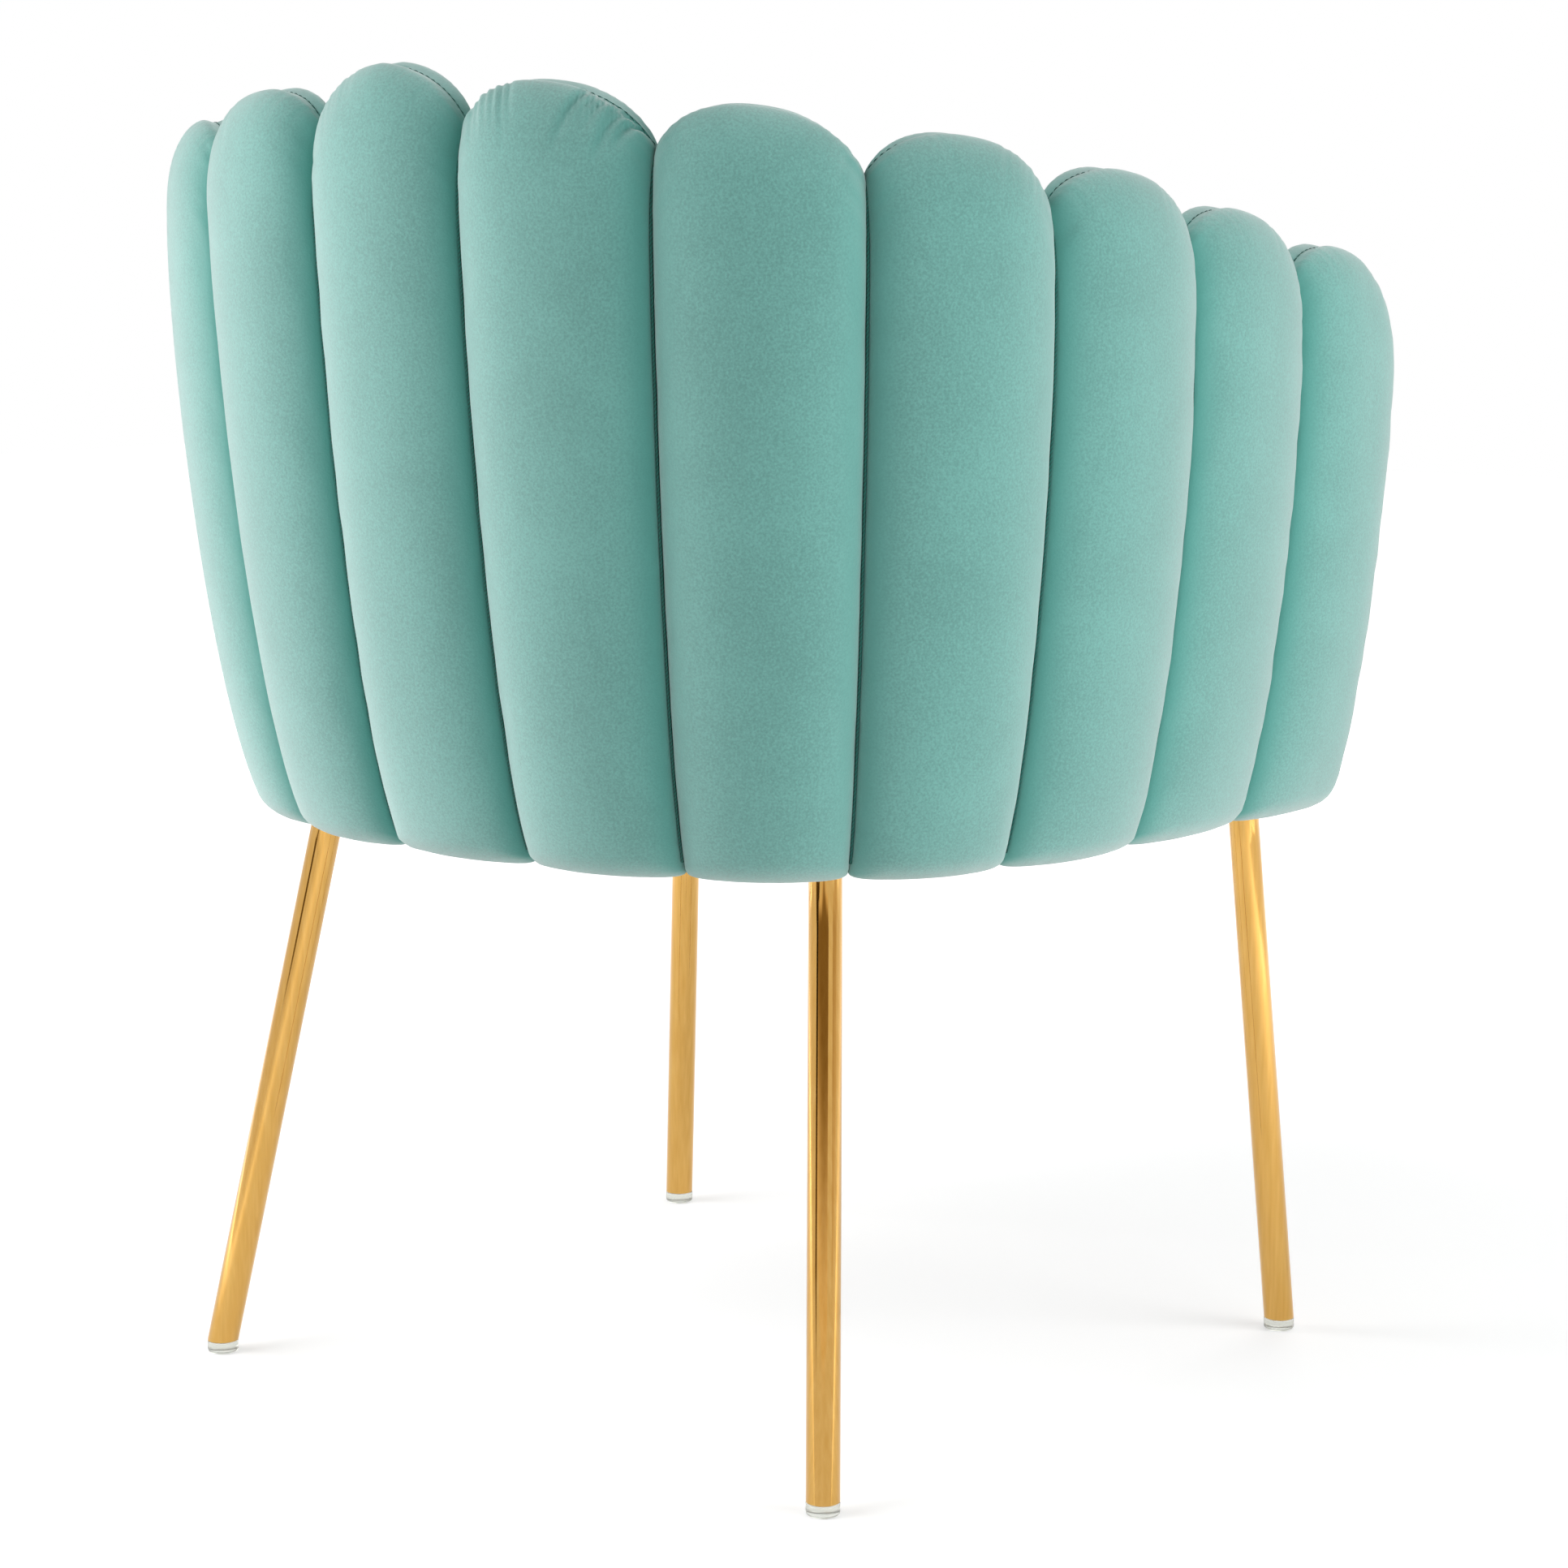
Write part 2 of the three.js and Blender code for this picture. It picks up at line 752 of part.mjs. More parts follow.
// Corner blocks, shaped to the inside of the rails
function addCornerBlocks() {
  const inside = seatOutline(
    () => railInnerOffset - touchGap,
    railReach,
    railThickness + touchGap,
  );
  const filling = solidOf(prism(inside, frameBaseHeight, blockHeight));
  legs.forEach((leg) => {
    const square = rectangleAround(leg.plate, blockWidth, touchGap);
    const block = solidOf(prism(square, frameBaseHeight, blockHeight)).intersect(filling);
    const depth = cutOverrun + screwLength + screwSlack;
    const drilled = cutHoles(block, leg, frameBaseHeight - cutOverrun, depth);
    addPiece(`${leg.name}_corner_block`, geometryOfSolid(drilled), hardwood());
  });
}

// Zigzag spring wire along Y, level with the deck
class SpringPath extends THREE.Curve {
  constructor(x, start, end) {
    super();
    this.x = x;
    this.start = start;
    this.end = end;
  }

  getPoint(part, target = new THREE.Vector3()) {
    const swing = springSwing * Math.sin(2 * Math.PI * springWaveCount * part);
    const y = THREE.MathUtils.lerp(this.start, this.end, part);
    return target.set(this.x + swing, y, deckHeight + touchGap + springWire / 2);
  }
}

// Where the back rail's inner face lies at an x, found by halving
function backRailPlaceAt(x) {
  let low = 0;
  let high = bendShare;
  for (let i = 0; i < springStepCount; i++) {
    const middle = (low + high) / 2;
    const foot = wallFoot(middle);
    if (foot.place.x + foot.out.x * railInnerOffset < Math.abs(x)) low = middle;
    else high = middle;
  }
  const foot = wallFoot(low);
  return foot.place.y + foot.out.y * railInnerOffset;
}

function addSprings() {
  const section = new THREE.Shape(
    Array.from({ length: springFacetCount }, (_, i) => {
      const turn = (2 * Math.PI * i) / springFacetCount;
      return new THREE.Vector2(Math.cos(turn), Math.sin(turn)).multiplyScalar(springWire / 2);
    }),
  );
  for (let i = 0; i < springCount; i++) {
    const x = (i - (springCount - 1) / 2) * springSpacing;
    const start = frontPlaceAt(x, railReach) + railThickness - springLanding;
    const end = backRailPlaceAt(x) + springLanding;
    const wire = new THREE.ExtrudeGeometry(section, {
      steps: springStepCount,
      bevelEnabled: false,
      extrudePath: new SpringPath(x, start, end),
    });
    addPiece(`seat_spring_${i + 1}`, wire, springSteel());
  }
}

function addInsulator() {
  const outline = seatOutline(
    (foot) => innerCrownOffset + flareAt(foot, springTopHeight) - insulatorMargin,
    railReach,
    railThickness + insulatorSetback,
  );
  const pad = prism(outline, springTopHeight + touchGap, insulatorThickness);
  addPiece("spring_insulator", pad, feltPad());
}

// Seat cushion: flat below, its sides following the wall and drawn in at both edges, crowned on top
function addSeatCushion() {
  const reach = frontReach + cushionFrontOverhang;
  const ringAt = (inset, height) => {
    const clear = innerCrownOffset - cushionSideClearance - inset;
    const outline = seatOutline((foot) => clear + flareAt(foot, height), reach, inset);
    return outline.map((point) => new THREE.Vector3(point.x, point.y, height));
  };
  const sides = cushionSideHeightShares.map((part, i) =>
    ringAt(cushionSideDraw * cushionDrawShares[i], cushionBaseHeight + cushionThickness * part),
  );
  const edge = cushionBaseHeight + cushionThickness;
  const tops = cushionTopReachShares.map((part, i) =>
    ringAt(
      THREE.MathUtils.lerp(cushionSideDraw, cushionTopReach, part),
      edge + cushionCrown * cushionTopRiseShares[i],
    ),
  );
  addPiece("seat_cushion", loft([...sides, ...tops], true), velvet());
}

// Padded front apron over the front rail, its ends leaning with the arms
function addApron() {
  const bottom = frameBaseHeight - apronDrop;
  const top = cushionBaseHeight - touchGap;
  const armFoot = wallFoot(1);
  const leanAt = (x, height) => {
    const lean = flareAt(armFoot, height) - flareAt(armFoot, frameBaseHeight);
    return x * (1 + Math.max(lean, 0) / frontRailHalfLength);
  };
  const rings = frontRailStations().map((x) => {
    const face = frontPlaceAt(x, railReach) - apronThickness;
    const back = frontPlaceAt(x, railReach) - touchGap;
    const lip = back + touchGap + apronLip;
    const at = (y, height) => new THREE.Vector3(leanAt(x, height), y, height);
    const front = apronSideShares.map((part) =>
      at(face, THREE.MathUtils.lerp(bottom + apronEdge, top - apronEdge, part)),
    );
    return [
      at(back, bottom),
      at(face + apronEdge, bottom),
      ...front,
      at(face + apronEdge, top),
      at(lip, top),
      at(lip, deckHeight + touchGap),
      at(back, deckHeight + touchGap),
    ];
  });
  addPiece("front_apron", loft(rings), velvet());
}

// Dust cover under the whole frame, cut round the arm noses and the apron
function addDustCover() {
  const base = frameBaseHeight - touchGap - dustCoverThickness;
  const inside = shellOuterOffset + flareAt(wallFoot(1), frameBaseHeight) - touchGap;
  const wide = seatOutline(() => inside, 0, armNoseDepth + dustCoverMargin);
  const between = innerCrownOffset + flareAt(wallFoot(1), frameBaseHeight) - touchGap;
  const bowed = seatOutline(() => between, railReach, dustCoverMargin);
  const whole = solidOf(prism(wide, base, dustCoverThickness)).add(
    solidOf(prism(bowed, base, dustCoverThickness)),
  );
  const depth = dustCoverThickness + 2 * cutOverrun;
  const cut = legs.reduce((body, leg) => cutHoles(body, leg, base - cutOverrun, depth), whole);
  addPiece("dust_cover", geometryOfSolid(cut), blackCloth());
}

// Leg: a tube welded into its mounting plate
function addLeg(leg) {
  const square = rectangleAround(leg.plate, plateSize, plateCorner);
  const plate = solidOf(prism(square, plateBaseHeight, plateThickness));
  const weld = plateBaseHeight + plateThickness / 2;
  const tube = levelBar(leg, tubeDiameter, glideHeight + touchGap, weld);
  const bore = levelBar(leg, tubeDiameter - 2 * tubeWall, glideHeight - cutOverrun, plateBaseHeight);
  const depth = plateThickness + 2 * cutOverrun;
  const drilled = cutHoles(tube.add(plate).subtract(bore), leg, plateBaseHeight - cutOverrun, depth);
  addPiece(`${leg.name}_leg`, geometryOfSolid(drilled), goldTube());
}

// Glide: a disc under the tube's end, and a stem inside the tube
function addGlide(leg) {
  const slope = leg.top.clone().sub(leg.foot).divideScalar(plateBaseHeight);
  const centre = leg.foot.clone().addScaledVector(slope, glideHeight);
  const radius = tubeDiameter / 2;
  const profile = [
    new THREE.Vector2(0, 0),
    new THREE.Vector2(radius - glideEdge, 0),
    new THREE.Vector2(radius, glideEdge),
    new THREE.Vector2(radius, glideHeight),
    new THREE.Vector2(0, glideHeight),
  ];
  const disc = new THREE.LatheGeometry(profile, roundFacetCount);
  disc.rotateX(Math.PI / 2).translate(centre.x, centre.y, 0);
  const stemDiameter = tubeDiameter - 2 * tubeWall - 2 * glideStemSlack;
  const stem = levelBar(leg, stemDiameter, glideHeight - glideEdge, glideHeight + glideStemLength);
  addPiece(`${leg.name}_glide`, geometryOfSolid(solidOf(disc).add(stem)), clearPlastic());
}

// Screws up through the plate and the dust cover into the corner block
function addScrews(leg) {
  const headBase = screwHeadTopHeight - screwHeadHeight;
  const shankBase = screwHeadTopHeight - screwHeadHeight / 2;
  const shankLength = frameBaseHeight - shankBase + screwLength;
  leg.screws.forEach((place, i) => {
    const head = drum(screwHeadDiameter, headBase, screwHeadHeight, place, screwFacetCount);
    const shank = drum(screwDiameter, shankBase, shankLength, place, screwFacetCount);
    const screw = geometryOfSolid(solidOf(head).add(solidOf(shank)));
    addPiece(`${leg.name}_leg_screw_${i + 1}`, screw, zincSteel());
  });
}

addChannels();
addBackBoard();
addSeatFrame();
addCornerBlocks();
addSprings();
addInsulator();
addSeatCushion();
addApron();
addDustCover();
legs.forEach((leg) => {
  addLeg(leg);
  addGlide(leg);
  addScrews(leg);
});

// The origin lies under the middle of the whole chair
const backExtent = hemBackPlace + backFlare + outerCrown;
const frontExtent = armFrontPlace - frontReach - cushionFrontOverhang;
chair.position.y = -(backExtent + frontExtent) / 2;

export default chair;
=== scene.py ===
"""Looks of the scallop back chair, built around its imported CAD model.

Metres, +Z up. The chair faces -Y and stands on z = 0. The chair's classes hold millimetres, as an
upholsterer would give them, and a mesh turns them into metres. The studio's classes hold metres.
"""

import logging
import math
from dataclasses import dataclass, field, replace
from enum import Enum
from typing import Sequence

import bmesh
import bpy
import numpy as np
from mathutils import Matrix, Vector


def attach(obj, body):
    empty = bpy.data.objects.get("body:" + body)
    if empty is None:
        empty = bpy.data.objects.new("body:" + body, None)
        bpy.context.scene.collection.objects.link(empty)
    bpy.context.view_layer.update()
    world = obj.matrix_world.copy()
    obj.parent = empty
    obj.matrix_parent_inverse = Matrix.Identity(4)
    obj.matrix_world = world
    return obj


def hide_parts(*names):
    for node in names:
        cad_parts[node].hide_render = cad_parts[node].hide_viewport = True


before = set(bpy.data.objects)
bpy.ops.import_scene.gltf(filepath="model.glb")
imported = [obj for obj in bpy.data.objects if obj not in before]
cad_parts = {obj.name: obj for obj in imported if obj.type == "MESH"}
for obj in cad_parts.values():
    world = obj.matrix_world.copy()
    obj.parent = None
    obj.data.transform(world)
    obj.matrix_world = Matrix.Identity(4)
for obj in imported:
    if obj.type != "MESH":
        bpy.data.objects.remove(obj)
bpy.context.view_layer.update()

LOG = logging.getLogger("scallop_back_chair")
MM = 0.001
BODY = "root"
CHANNELS = 6
# Point attribute that carries the strength of the velvet's painted seam shade
CREASE_SHADE = "crease"
UP = np.array([0.0, 0.0, 1.0])
RIGHT_ANGLE = math.pi / 2
# Light and dark bands that a wave texture of scale 1 draws in a metre
BANDS_PER_METRE = 6.3

Tree = bpy.types.NodeTree
Socket = bpy.types.NodeSocket
Faces = list[tuple[int, ...]]
Skin = tuple[np.ndarray, Faces]


class Slot(Enum):
    """Material slots of the record."""

    VELVET = "mint velvet"
    GOLD = "gold tube"
    CLEAR = "clear plastic"
    ZINC = "zinc steel"


class Side(Enum):
    """Face of the wall: the way it looks, and the offsets of its board, valleys and crowns."""

    OUTER = ("outer", 1.0, -8.6, -7.2, 13.0)
    INNER = ("inner", -1.0, -20.6, -22.6, -46.0)

    def __init__(self, word: str, sign: float, board: float, valley: float, crown: float) -> None:
        """Keep the side's word, sign and offsets from the wall's seam line."""
        self.word, self.sign, self.board = word, sign, board
        self.valley, self.crown = valley, crown


# Colour and node helpers


def linear(hex_colour: str) -> tuple[float, float, float, float]:
    """Turn an sRGB hex colour such as "#74b5ab" into linear RGBA."""
    parts = [int(hex_colour[i : i + 2], 16) / 255 for i in (1, 3, 5)]
    flat = [p / 12.92 if p <= 0.04045 else ((p + 0.055) / 1.055) ** 2.4 for p in parts]
    return (flat[0], flat[1], flat[2], 1.0)


def set_inputs(tree: Tree, node: bpy.types.Node, inputs: dict) -> None:
    """Set or link a node's inputs.

    Args:
        tree: Node tree of the node.
        node: The node.
        inputs: A value or an output socket for each input, by name or number.
    """
    for name, value in inputs.items():
        named = [socket for socket in node.inputs if socket.name == name and socket.enabled]
        socket = named[0] if named else node.inputs[name]
        if isinstance(value, Socket):
            tree.links.new(value, socket)
        else:
            socket.default_value = value


def add_node(
    tree: Tree, kind: str, inputs: dict | None = None, **settings: object
) -> bpy.types.Node:
    """Add a node.

    Args:
        tree: Node tree that gets the node.
        kind: Blender's name of the node type, without its first word.
        inputs: A value or an output socket for each input, by name or number.
        settings: Options of the node.

    Returns:
        The new node.
    """
    node = tree.nodes.new(f"ShaderNode{kind}")
    for name, value in settings.items():
        setattr(node, name, value)
    set_inputs(tree, node, inputs or {})
    return node


def maths(tree: Tree, operation: str, first: Socket, second: Socket | float) -> Socket:
    """Work out a number from two others."""
    return add_node(tree, "Math", {0: first, 1: second}, operation=operation).outputs[0]


def noise(
    tree: Tree, space: Socket, size_mm: float, detail: float, **others: Socket | float
) -> Socket:
    """Add a noise texture whose pattern has a real size, and return its level."""
    inputs = {"Vector": space, "Scale": 1 / (size_mm * MM), "Detail": detail, **others}
    kind = "4D" if "W" in others else "3D"
    return add_node(tree, "TexNoise", inputs, noise_dimensions=kind).outputs["Fac"]


def bands(
    tree: Tree, space: Socket, width_mm: float, direction: str, **others: float
) -> Socket:
    """Add a wave texture whose bands have a real width, and return its level."""
    inputs = {"Vector": space, "Scale": 1 / (width_mm * MM) / BANDS_PER_METRE, **others}
    options = {"wave_type": "BANDS", "bands_direction": direction}
    return add_node(tree, "TexWave", inputs, **options).outputs["Fac"]


def blend(
    tree: Tree, factor: Socket | float, first: Socket, second: Socket | tuple, kind: str = "FLOAT"
) -> Socket:
    """Mix two levels or, with the kind RGBA, two colours."""
    mix = add_node(tree, "Mix", {"Factor": factor, "A": first, "B": second}, data_type=kind)
    return next(socket for socket in mix.outputs if socket.enabled)


def two_tones(tree: Tree, level: Socket, *stops: tuple[float, str]) -> Socket:
    """Turn a level into a colour between two stops, each a place and an sRGB hex colour."""
    ramp = add_node(tree, "ValToRGB", {"Fac": level})
    for element, (place, colour) in zip(ramp.color_ramp.elements, stops):
        element.position, element.color = place, linear(colour)
    return ramp.outputs["Color"]


def spread(
    tree: Tree, level: Socket, low: float, high: float, ends: tuple[float, float] | None = None
) -> Socket:
    """Spread a level over a range, evenly from 0 to 1 or smoothly between two ends."""
    inputs = {"Value": level, "To Min": low, "To Max": high}
    if ends is None:
        return add_node(tree, "MapRange", inputs).outputs["Result"]
    inputs |= {"From Min": ends[0], "From Max": ends[1]}
    return add_node(tree, "MapRange", inputs, interpolation_type="SMOOTHSTEP").outputs["Result"]


def relief(tree: Tree, height: Socket, strength: float, depth_mm: float) -> Socket:
    """Turn a level into a bumped normal."""
    inputs = {"Strength": strength, "Distance": depth_mm * MM, "Height": height}
    return add_node(tree, "Bump", inputs).outputs["Normal"]


def seen_rays(tree: Tree, *kinds: str) -> Socket:
    """Return 1 for the rays of some kinds and 0 for all others."""
    first, *others = (add_node(tree, "LightPath").outputs[kind] for kind in kinds)
    for other in others:
        first = maths(tree, "MAXIMUM", first, other)
    return first


# Finishes


@dataclass(frozen=True)
class Finish:
    """A real material and how its surface was made."""

    name: str = "finish"

    def material(self) -> bpy.types.Material:
        """Return this finish's material, made once, with patterns in the chair's own metres."""
        made = bpy.data.materials.get(self.name)
        if made is None:
            made = bpy.data.materials.new(self.name)
            made.use_nodes = True
            tree = made.node_tree
            space = add_node(tree, "TexCoord").outputs["Object"]
            set_inputs(tree, tree.nodes["Principled BSDF"], self.surface(tree, space))
        return made

    def surface(self, tree: Tree, space: Socket) -> dict[str, object]:
        """Add the finish's own nodes and return what each of the shader's inputs gets, by name."""
        raise NotImplementedError


@dataclass(frozen=True)
class PolyesterVelvet(Finish):
    """Woven polyester velvet with a sheared pile: saturated teal that blooms pale at its turns, with
    painted shade in its seams and gathers.
    """

    name: str = "polyester velvet"
    ground: str = "#379d92"
    lit_pile: str = "#5dbeb2"
    # Saturated darker teal, painted shade for the seams and gathers
    painted_shade_colour: str = "#00a598"
    bloom: str = "#fbfffe"
    sheen: float = 1.0
    sheen_roughness: float = 0.77
    nap_mm: float = 1.3
    brushed_mm: float = 60.0
    brushed_share: float = 0.24
    cover_spread: float = 20.0
    pile_mm: float = 1.1
    pile_depth_mm: float = 0.5

    def surface(self, tree: Tree, space: Socket) -> dict[str, object]:
        """Mottle the nap, let the pile show as fine bumps, add the bloom, and paint shade into the seams
        and gathers.
        """
        # Each cover was brushed by itself, so a number of its own moves its patches
        own = add_node(tree, "ObjectInfo").outputs["Random"]
        cover = maths(tree, "MULTIPLY", own, self.cover_spread)
        nap = noise(tree, space, self.nap_mm, 3.0, Roughness=0.65)
        brushed = noise(tree, space, self.brushed_mm, 2.0, Distortion=0.6, W=cover)
        level = blend(tree, self.brushed_share, nap, brushed)
        tone = two_tones(tree, level, (0.38, self.ground), (0.62, self.lit_pile))
        # Painted shade: in the seams, along the crest seam and in the gathers the colour turns to a
        # saturated darker teal that stands for the shade there
        crease = add_node(tree, "Attribute", attribute_name=CREASE_SHADE).outputs["Fac"]
        # Pile tufts 0.3 mm apart are drawn nearly four times as coarse, so that they show at all
        pile = noise(tree, space, self.pile_mm, 2.0, Roughness=0.7)
        return {
            "Base Color": blend(tree, crease, tone, linear(self.painted_shade_colour), "RGBA"),
            "Normal": relief(tree, pile, 0.32, self.pile_depth_mm),
            "Roughness": 0.9,
            "Specular IOR Level": 0.0,
            "Sheen Weight": self.sheen,
            "Sheen Roughness": self.sheen_roughness,
            "Sheen Tint": linear(self.bloom),
        }


@dataclass(frozen=True)
class SewingThread(Finish):
    """Bonded polyester thread, twisted from three strands, a shade darker than the velvet; the same dark
    teal colours the valley cords as painted shade.
    """

    name: str = "sewing thread and painted valley shade"
    colour: str = "#0b6a60"
    shade: str = "#06463f"
    twist_mm: float = 0.6

    def surface(self, tree: Tree, space: Socket) -> dict[str, object]:
        """Draw the twist as fine bands."""
        twist = bands(tree, space, self.twist_mm, "DIAGONAL")
        tone = two_tones(tree, twist, (0.2, self.shade), (0.8, self.colour))
        return {"Base Color": tone, "Roughness": 0.6}


@dataclass(frozen=True)
class PlatedTube(Finish):
    """Steel tube, buffed and plated in a gold tone: a mirror with faint polishing lines."""

    name: str = "gold plated steel tube"
    colour: str = "#d2a352"
    deep: str = "#c8963f"
    roughness: float = 0.06
    roughness_drift: float = 0.03
    polish_mm: float = 2.2
    stretch: float = 0.06

    def surface(self, tree: Tree, space: Socket) -> dict[str, object]:
        """Let the plating's tone and gloss drift a little along the tube."""
        inputs = {"Vector": space, "Scale": (1.0, 1.0, self.stretch)}
        stretched = add_node(tree, "Mapping", inputs).outputs["Vector"]
        lines = noise(tree, stretched, self.polish_mm, 2.0)
        return {
            "Base Color": two_tones(tree, lines, (0.25, self.deep), (0.75, self.colour)),
            "Roughness": spread(tree, lines, self.roughness, self.roughness + self.roughness_drift),
            "Metallic": 1.0,
            # A clear lacquer keeps the plating bright and pales it along the tube's edges
            "Coat Weight": 0.8,
            "Coat Roughness": 0.03,
        }


@dataclass(frozen=True)
class ClearPolycarbonate(Finish):
    """Moulded clear polycarbonate, faintly smoky, scuffed where it meets the floor."""

    name: str = "clear polycarbonate"
    tint: str = "#e4e6de"
    scuff_mm: float = 1.2
    polished: float = 0.08
    scuffed: float = 0.3

    def surface(self, tree: Tree, space: Socket) -> dict[str, object]:
        """Make it see-through, with a roughness that varies with the scuffs."""
        scuffs = noise(tree, space, self.scuff_mm, 3.0)
        return {
            "Base Color": linear(self.tint),
            "Roughness": spread(tree, scuffs, self.polished, self.scuffed),
            "Transmission Weight": 0.85,
            "IOR": 1.58,
        }


@dataclass(frozen=True)
class SawnWood(Finish):
    """Sawn timber or veneer, unfinished: long grain in two tones with fine pores."""

    name: str = "sawn beech"
    early: str = "#c9a06c"
    late: str = "#a97b49"
    ring_mm: float = 9.0
    pore_mm: float = 1.4
    pore_share: float = 0.35
    pore_depth_mm: float = 0.4
    stretch: float = 0.16

    def surface(self, tree: Tree, space: Socket) -> dict[str, object]:
        """Draw the year rings and the pores."""
        inputs = {"Vector": space, "Scale": (self.stretch, 1.0, 1.0)}
        long_grain = add_node(tree, "Mapping", inputs).outputs["Vector"]
        # Year rings are drawn three times as wide as they grow, so that they show on small parts
        waver = {"Distortion": 5.0, "Detail": 3.0, "Detail Scale": 1.6}
        rings = bands(tree, long_grain, self.ring_mm, "Z", **waver)
        pores = noise(tree, long_grain, self.pore_mm, 4.0)
        level = blend(tree, self.pore_share, rings, pores)
        return {
            "Base Color": two_tones(tree, level, (0.2, self.late), (0.7, self.early)),
            "Normal": relief(tree, pores, 0.3, self.pore_depth_mm),
            "Roughness": 0.72,
        }


@dataclass(frozen=True)
class WireSteel(Finish):
    """Drawn or zinc plated steel: grey metal with a blotchy, slightly dull surface."""

    name: str = "zinc plated steel"
    light: str = "#c3c6c9"
    dark: str = "#9a9da2"
    blotch_mm: float = 4.0
    roughness: float = 0.3
    roughness_drift: float = 0.2

    def surface(self, tree: Tree, space: Socket) -> dict[str, object]:
        """Vary the tone and gloss in blotches."""
        blotches = noise(tree, space, self.blotch_mm, 4.0)
        return {
            "Base Color": two_tones(tree, blotches, (0.3, self.dark), (0.7, self.light)),
            "Roughness": spread(tree, blotches, self.roughness, self.roughness + self.roughness_drift),
            "Metallic": 1.0,
        }


@dataclass(frozen=True)
class FibreSheet(Finish):
    """Pressed or bonded fibres, such as needled felt or the non-woven lining under a seat."""

    name: str = "needled felt"
    light: str = "#9a958c"
    dark: str = "#6d6a64"
    fibre_mm: float = 2.0
    fuzz_share: float = 0.6
    relief_mm: float = 0.5

    def surface(self, tree: Tree, space: Socket) -> dict[str, object]:
        """Scatter the fibres as cells of two tones with a little relief."""
        # Single fibres are too fine to show, so each cell stands for a small tuft of them
        inputs = {"Vector": space, "Scale": 1 / (self.fibre_mm * MM)}
        fibres = add_node(tree, "TexVoronoi", inputs, feature="DISTANCE_TO_EDGE")
        fuzz = noise(tree, space, self.fibre_mm / 2, 4.0)
        level = blend(tree, self.fuzz_share, fibres.outputs["Distance"], fuzz)
        return {
            "Base Color": two_tones(tree, level, (0.15, self.dark), (0.6, self.light)),
            "Normal": relief(tree, level, 0.5, self.relief_mm),
            "Roughness": 0.95,
        }


VELVET = PolyesterVelvet()
# The thread's dark teal serves the crest stitches and, as painted shade, the cords in the channel valleys
THREAD_AND_SHADE = SewingThread()
GOLD = PlatedTube()
CLEAR = ClearPolycarbonate()
BEECH = SawnWood()
BIRCH_PLY = SawnWood("bent birch plywood", early="#dcc294", late="#c5a26c", ring_mm=14.0)
ZINC = WireSteel()
SPRING_STEEL = WireSteel("oil tempered spring wire", light="#85888c", dark="#585a5e", roughness=0.38)
STAPLE_WIRE = WireSteel("galvanised staple wire", light="#b4b8bb", dark="#8b8e92")
FELT = FibreSheet()
LINING = FibreSheet(
    "black non-woven lining", light="#2b2b2e", dark="#121214", fibre_mm=1.6, relief_mm=0.3
)


# Mesh helpers


def make_piece(
    name: str, skin: Skin, finish: Finish, sharp_deg: float | None = None
) -> bpy.types.Object:
    """Make an object from a skin in millimetres and let it ride on the chair.

    Args:
        name: Name of the piece.
        skin: Its points, as rows of x, y and z, and its faces.
        finish: Finish that the whole piece gets.
        sharp_deg: Edges sharper than this stay sharp; None smooths them all.

    Returns:
        The new object.
    """
    points, faces = skin
    mesh = bpy.data.meshes.new(name)
    mesh.from_pydata((np.asarray(points) * MM).tolist(), [], [list(face) for face in faces])
    mesh.validate()
    work = bmesh.new()
    work.from_mesh(mesh)
    bmesh.ops.recalc_face_normals(work, faces=work.faces)
    if work.calc_volume(signed=True) < 0:
        bmesh.ops.reverse_faces(work, faces=work.faces)
    work.to_mesh(mesh)
    work.free()
    mesh.polygons.foreach_set("use_smooth", [True] * len(mesh.polygons))
    if sharp_deg is not None:
        mesh.set_sharp_from_angle(angle=math.radians(sharp_deg))
    mesh.materials.append(finish.material())
    piece = bpy.data.objects.new(name, mesh)
    bpy.context.scene.collection.objects.link(piece)
    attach(piece, BODY)
    LOG.info("made %s: %d points", name, len(mesh.vertices))
    return piece


def unit(vectors: np.ndarray) -> np.ndarray:
    """Return vectors brought to a length of 1."""
    return vectors / np.maximum(np.linalg.norm(vectors, axis=-1, keepdims=True), 1e-9)


def turns(count: int) -> np.ndarray:
    """Return evenly spaced angles of a full turn."""
    return np.arange(count) / count * 2 * math.pi


def closer_at_ends(count: int) -> np.ndarray:
    """Return places from -1 to 1 that lie closer together at both ends."""
    return np.sin(math.pi * (np.linspace(0, 1, count) - 0.5))


def path_length(path: np.ndarray) -> np.ndarray:
    """Return how far along a path each of its points lies."""
    return np.concatenate([[0], np.cumsum(np.linalg.norm(np.diff(path, axis=0), axis=1))])


def along_path(path: np.ndarray, where: np.ndarray | Sequence[float]) -> np.ndarray:
    """Return the points that lie at given distances along a path."""
    length = path_length(path)
    return np.column_stack([np.interp(where, length, line) for line in path.T])


def hoops(
    centres: np.ndarray,
    across: np.ndarray,
    upward: np.ndarray,
    radius: np.ndarray | float,
    count: int,
) -> np.ndarray:
    """Lay a ring of points round each centre.

    Args:
        centres: Middle of each ring.
        across: First unit direction of all the rings or of each.
        upward: Second unit direction, square to the first.
        radius: Radius of all the rings or of each.
        count: Number of points in a ring.

    Returns:
        An array of rings, points and coordinates.
    """
    turn = turns(count)[None, :, None]
    spokes = np.cos(turn) * across[..., None, :] + np.sin(turn) * upward[..., None, :]
    return centres[:, None, :] + np.broadcast_to(radius, len(centres))[:, None, None] * spokes


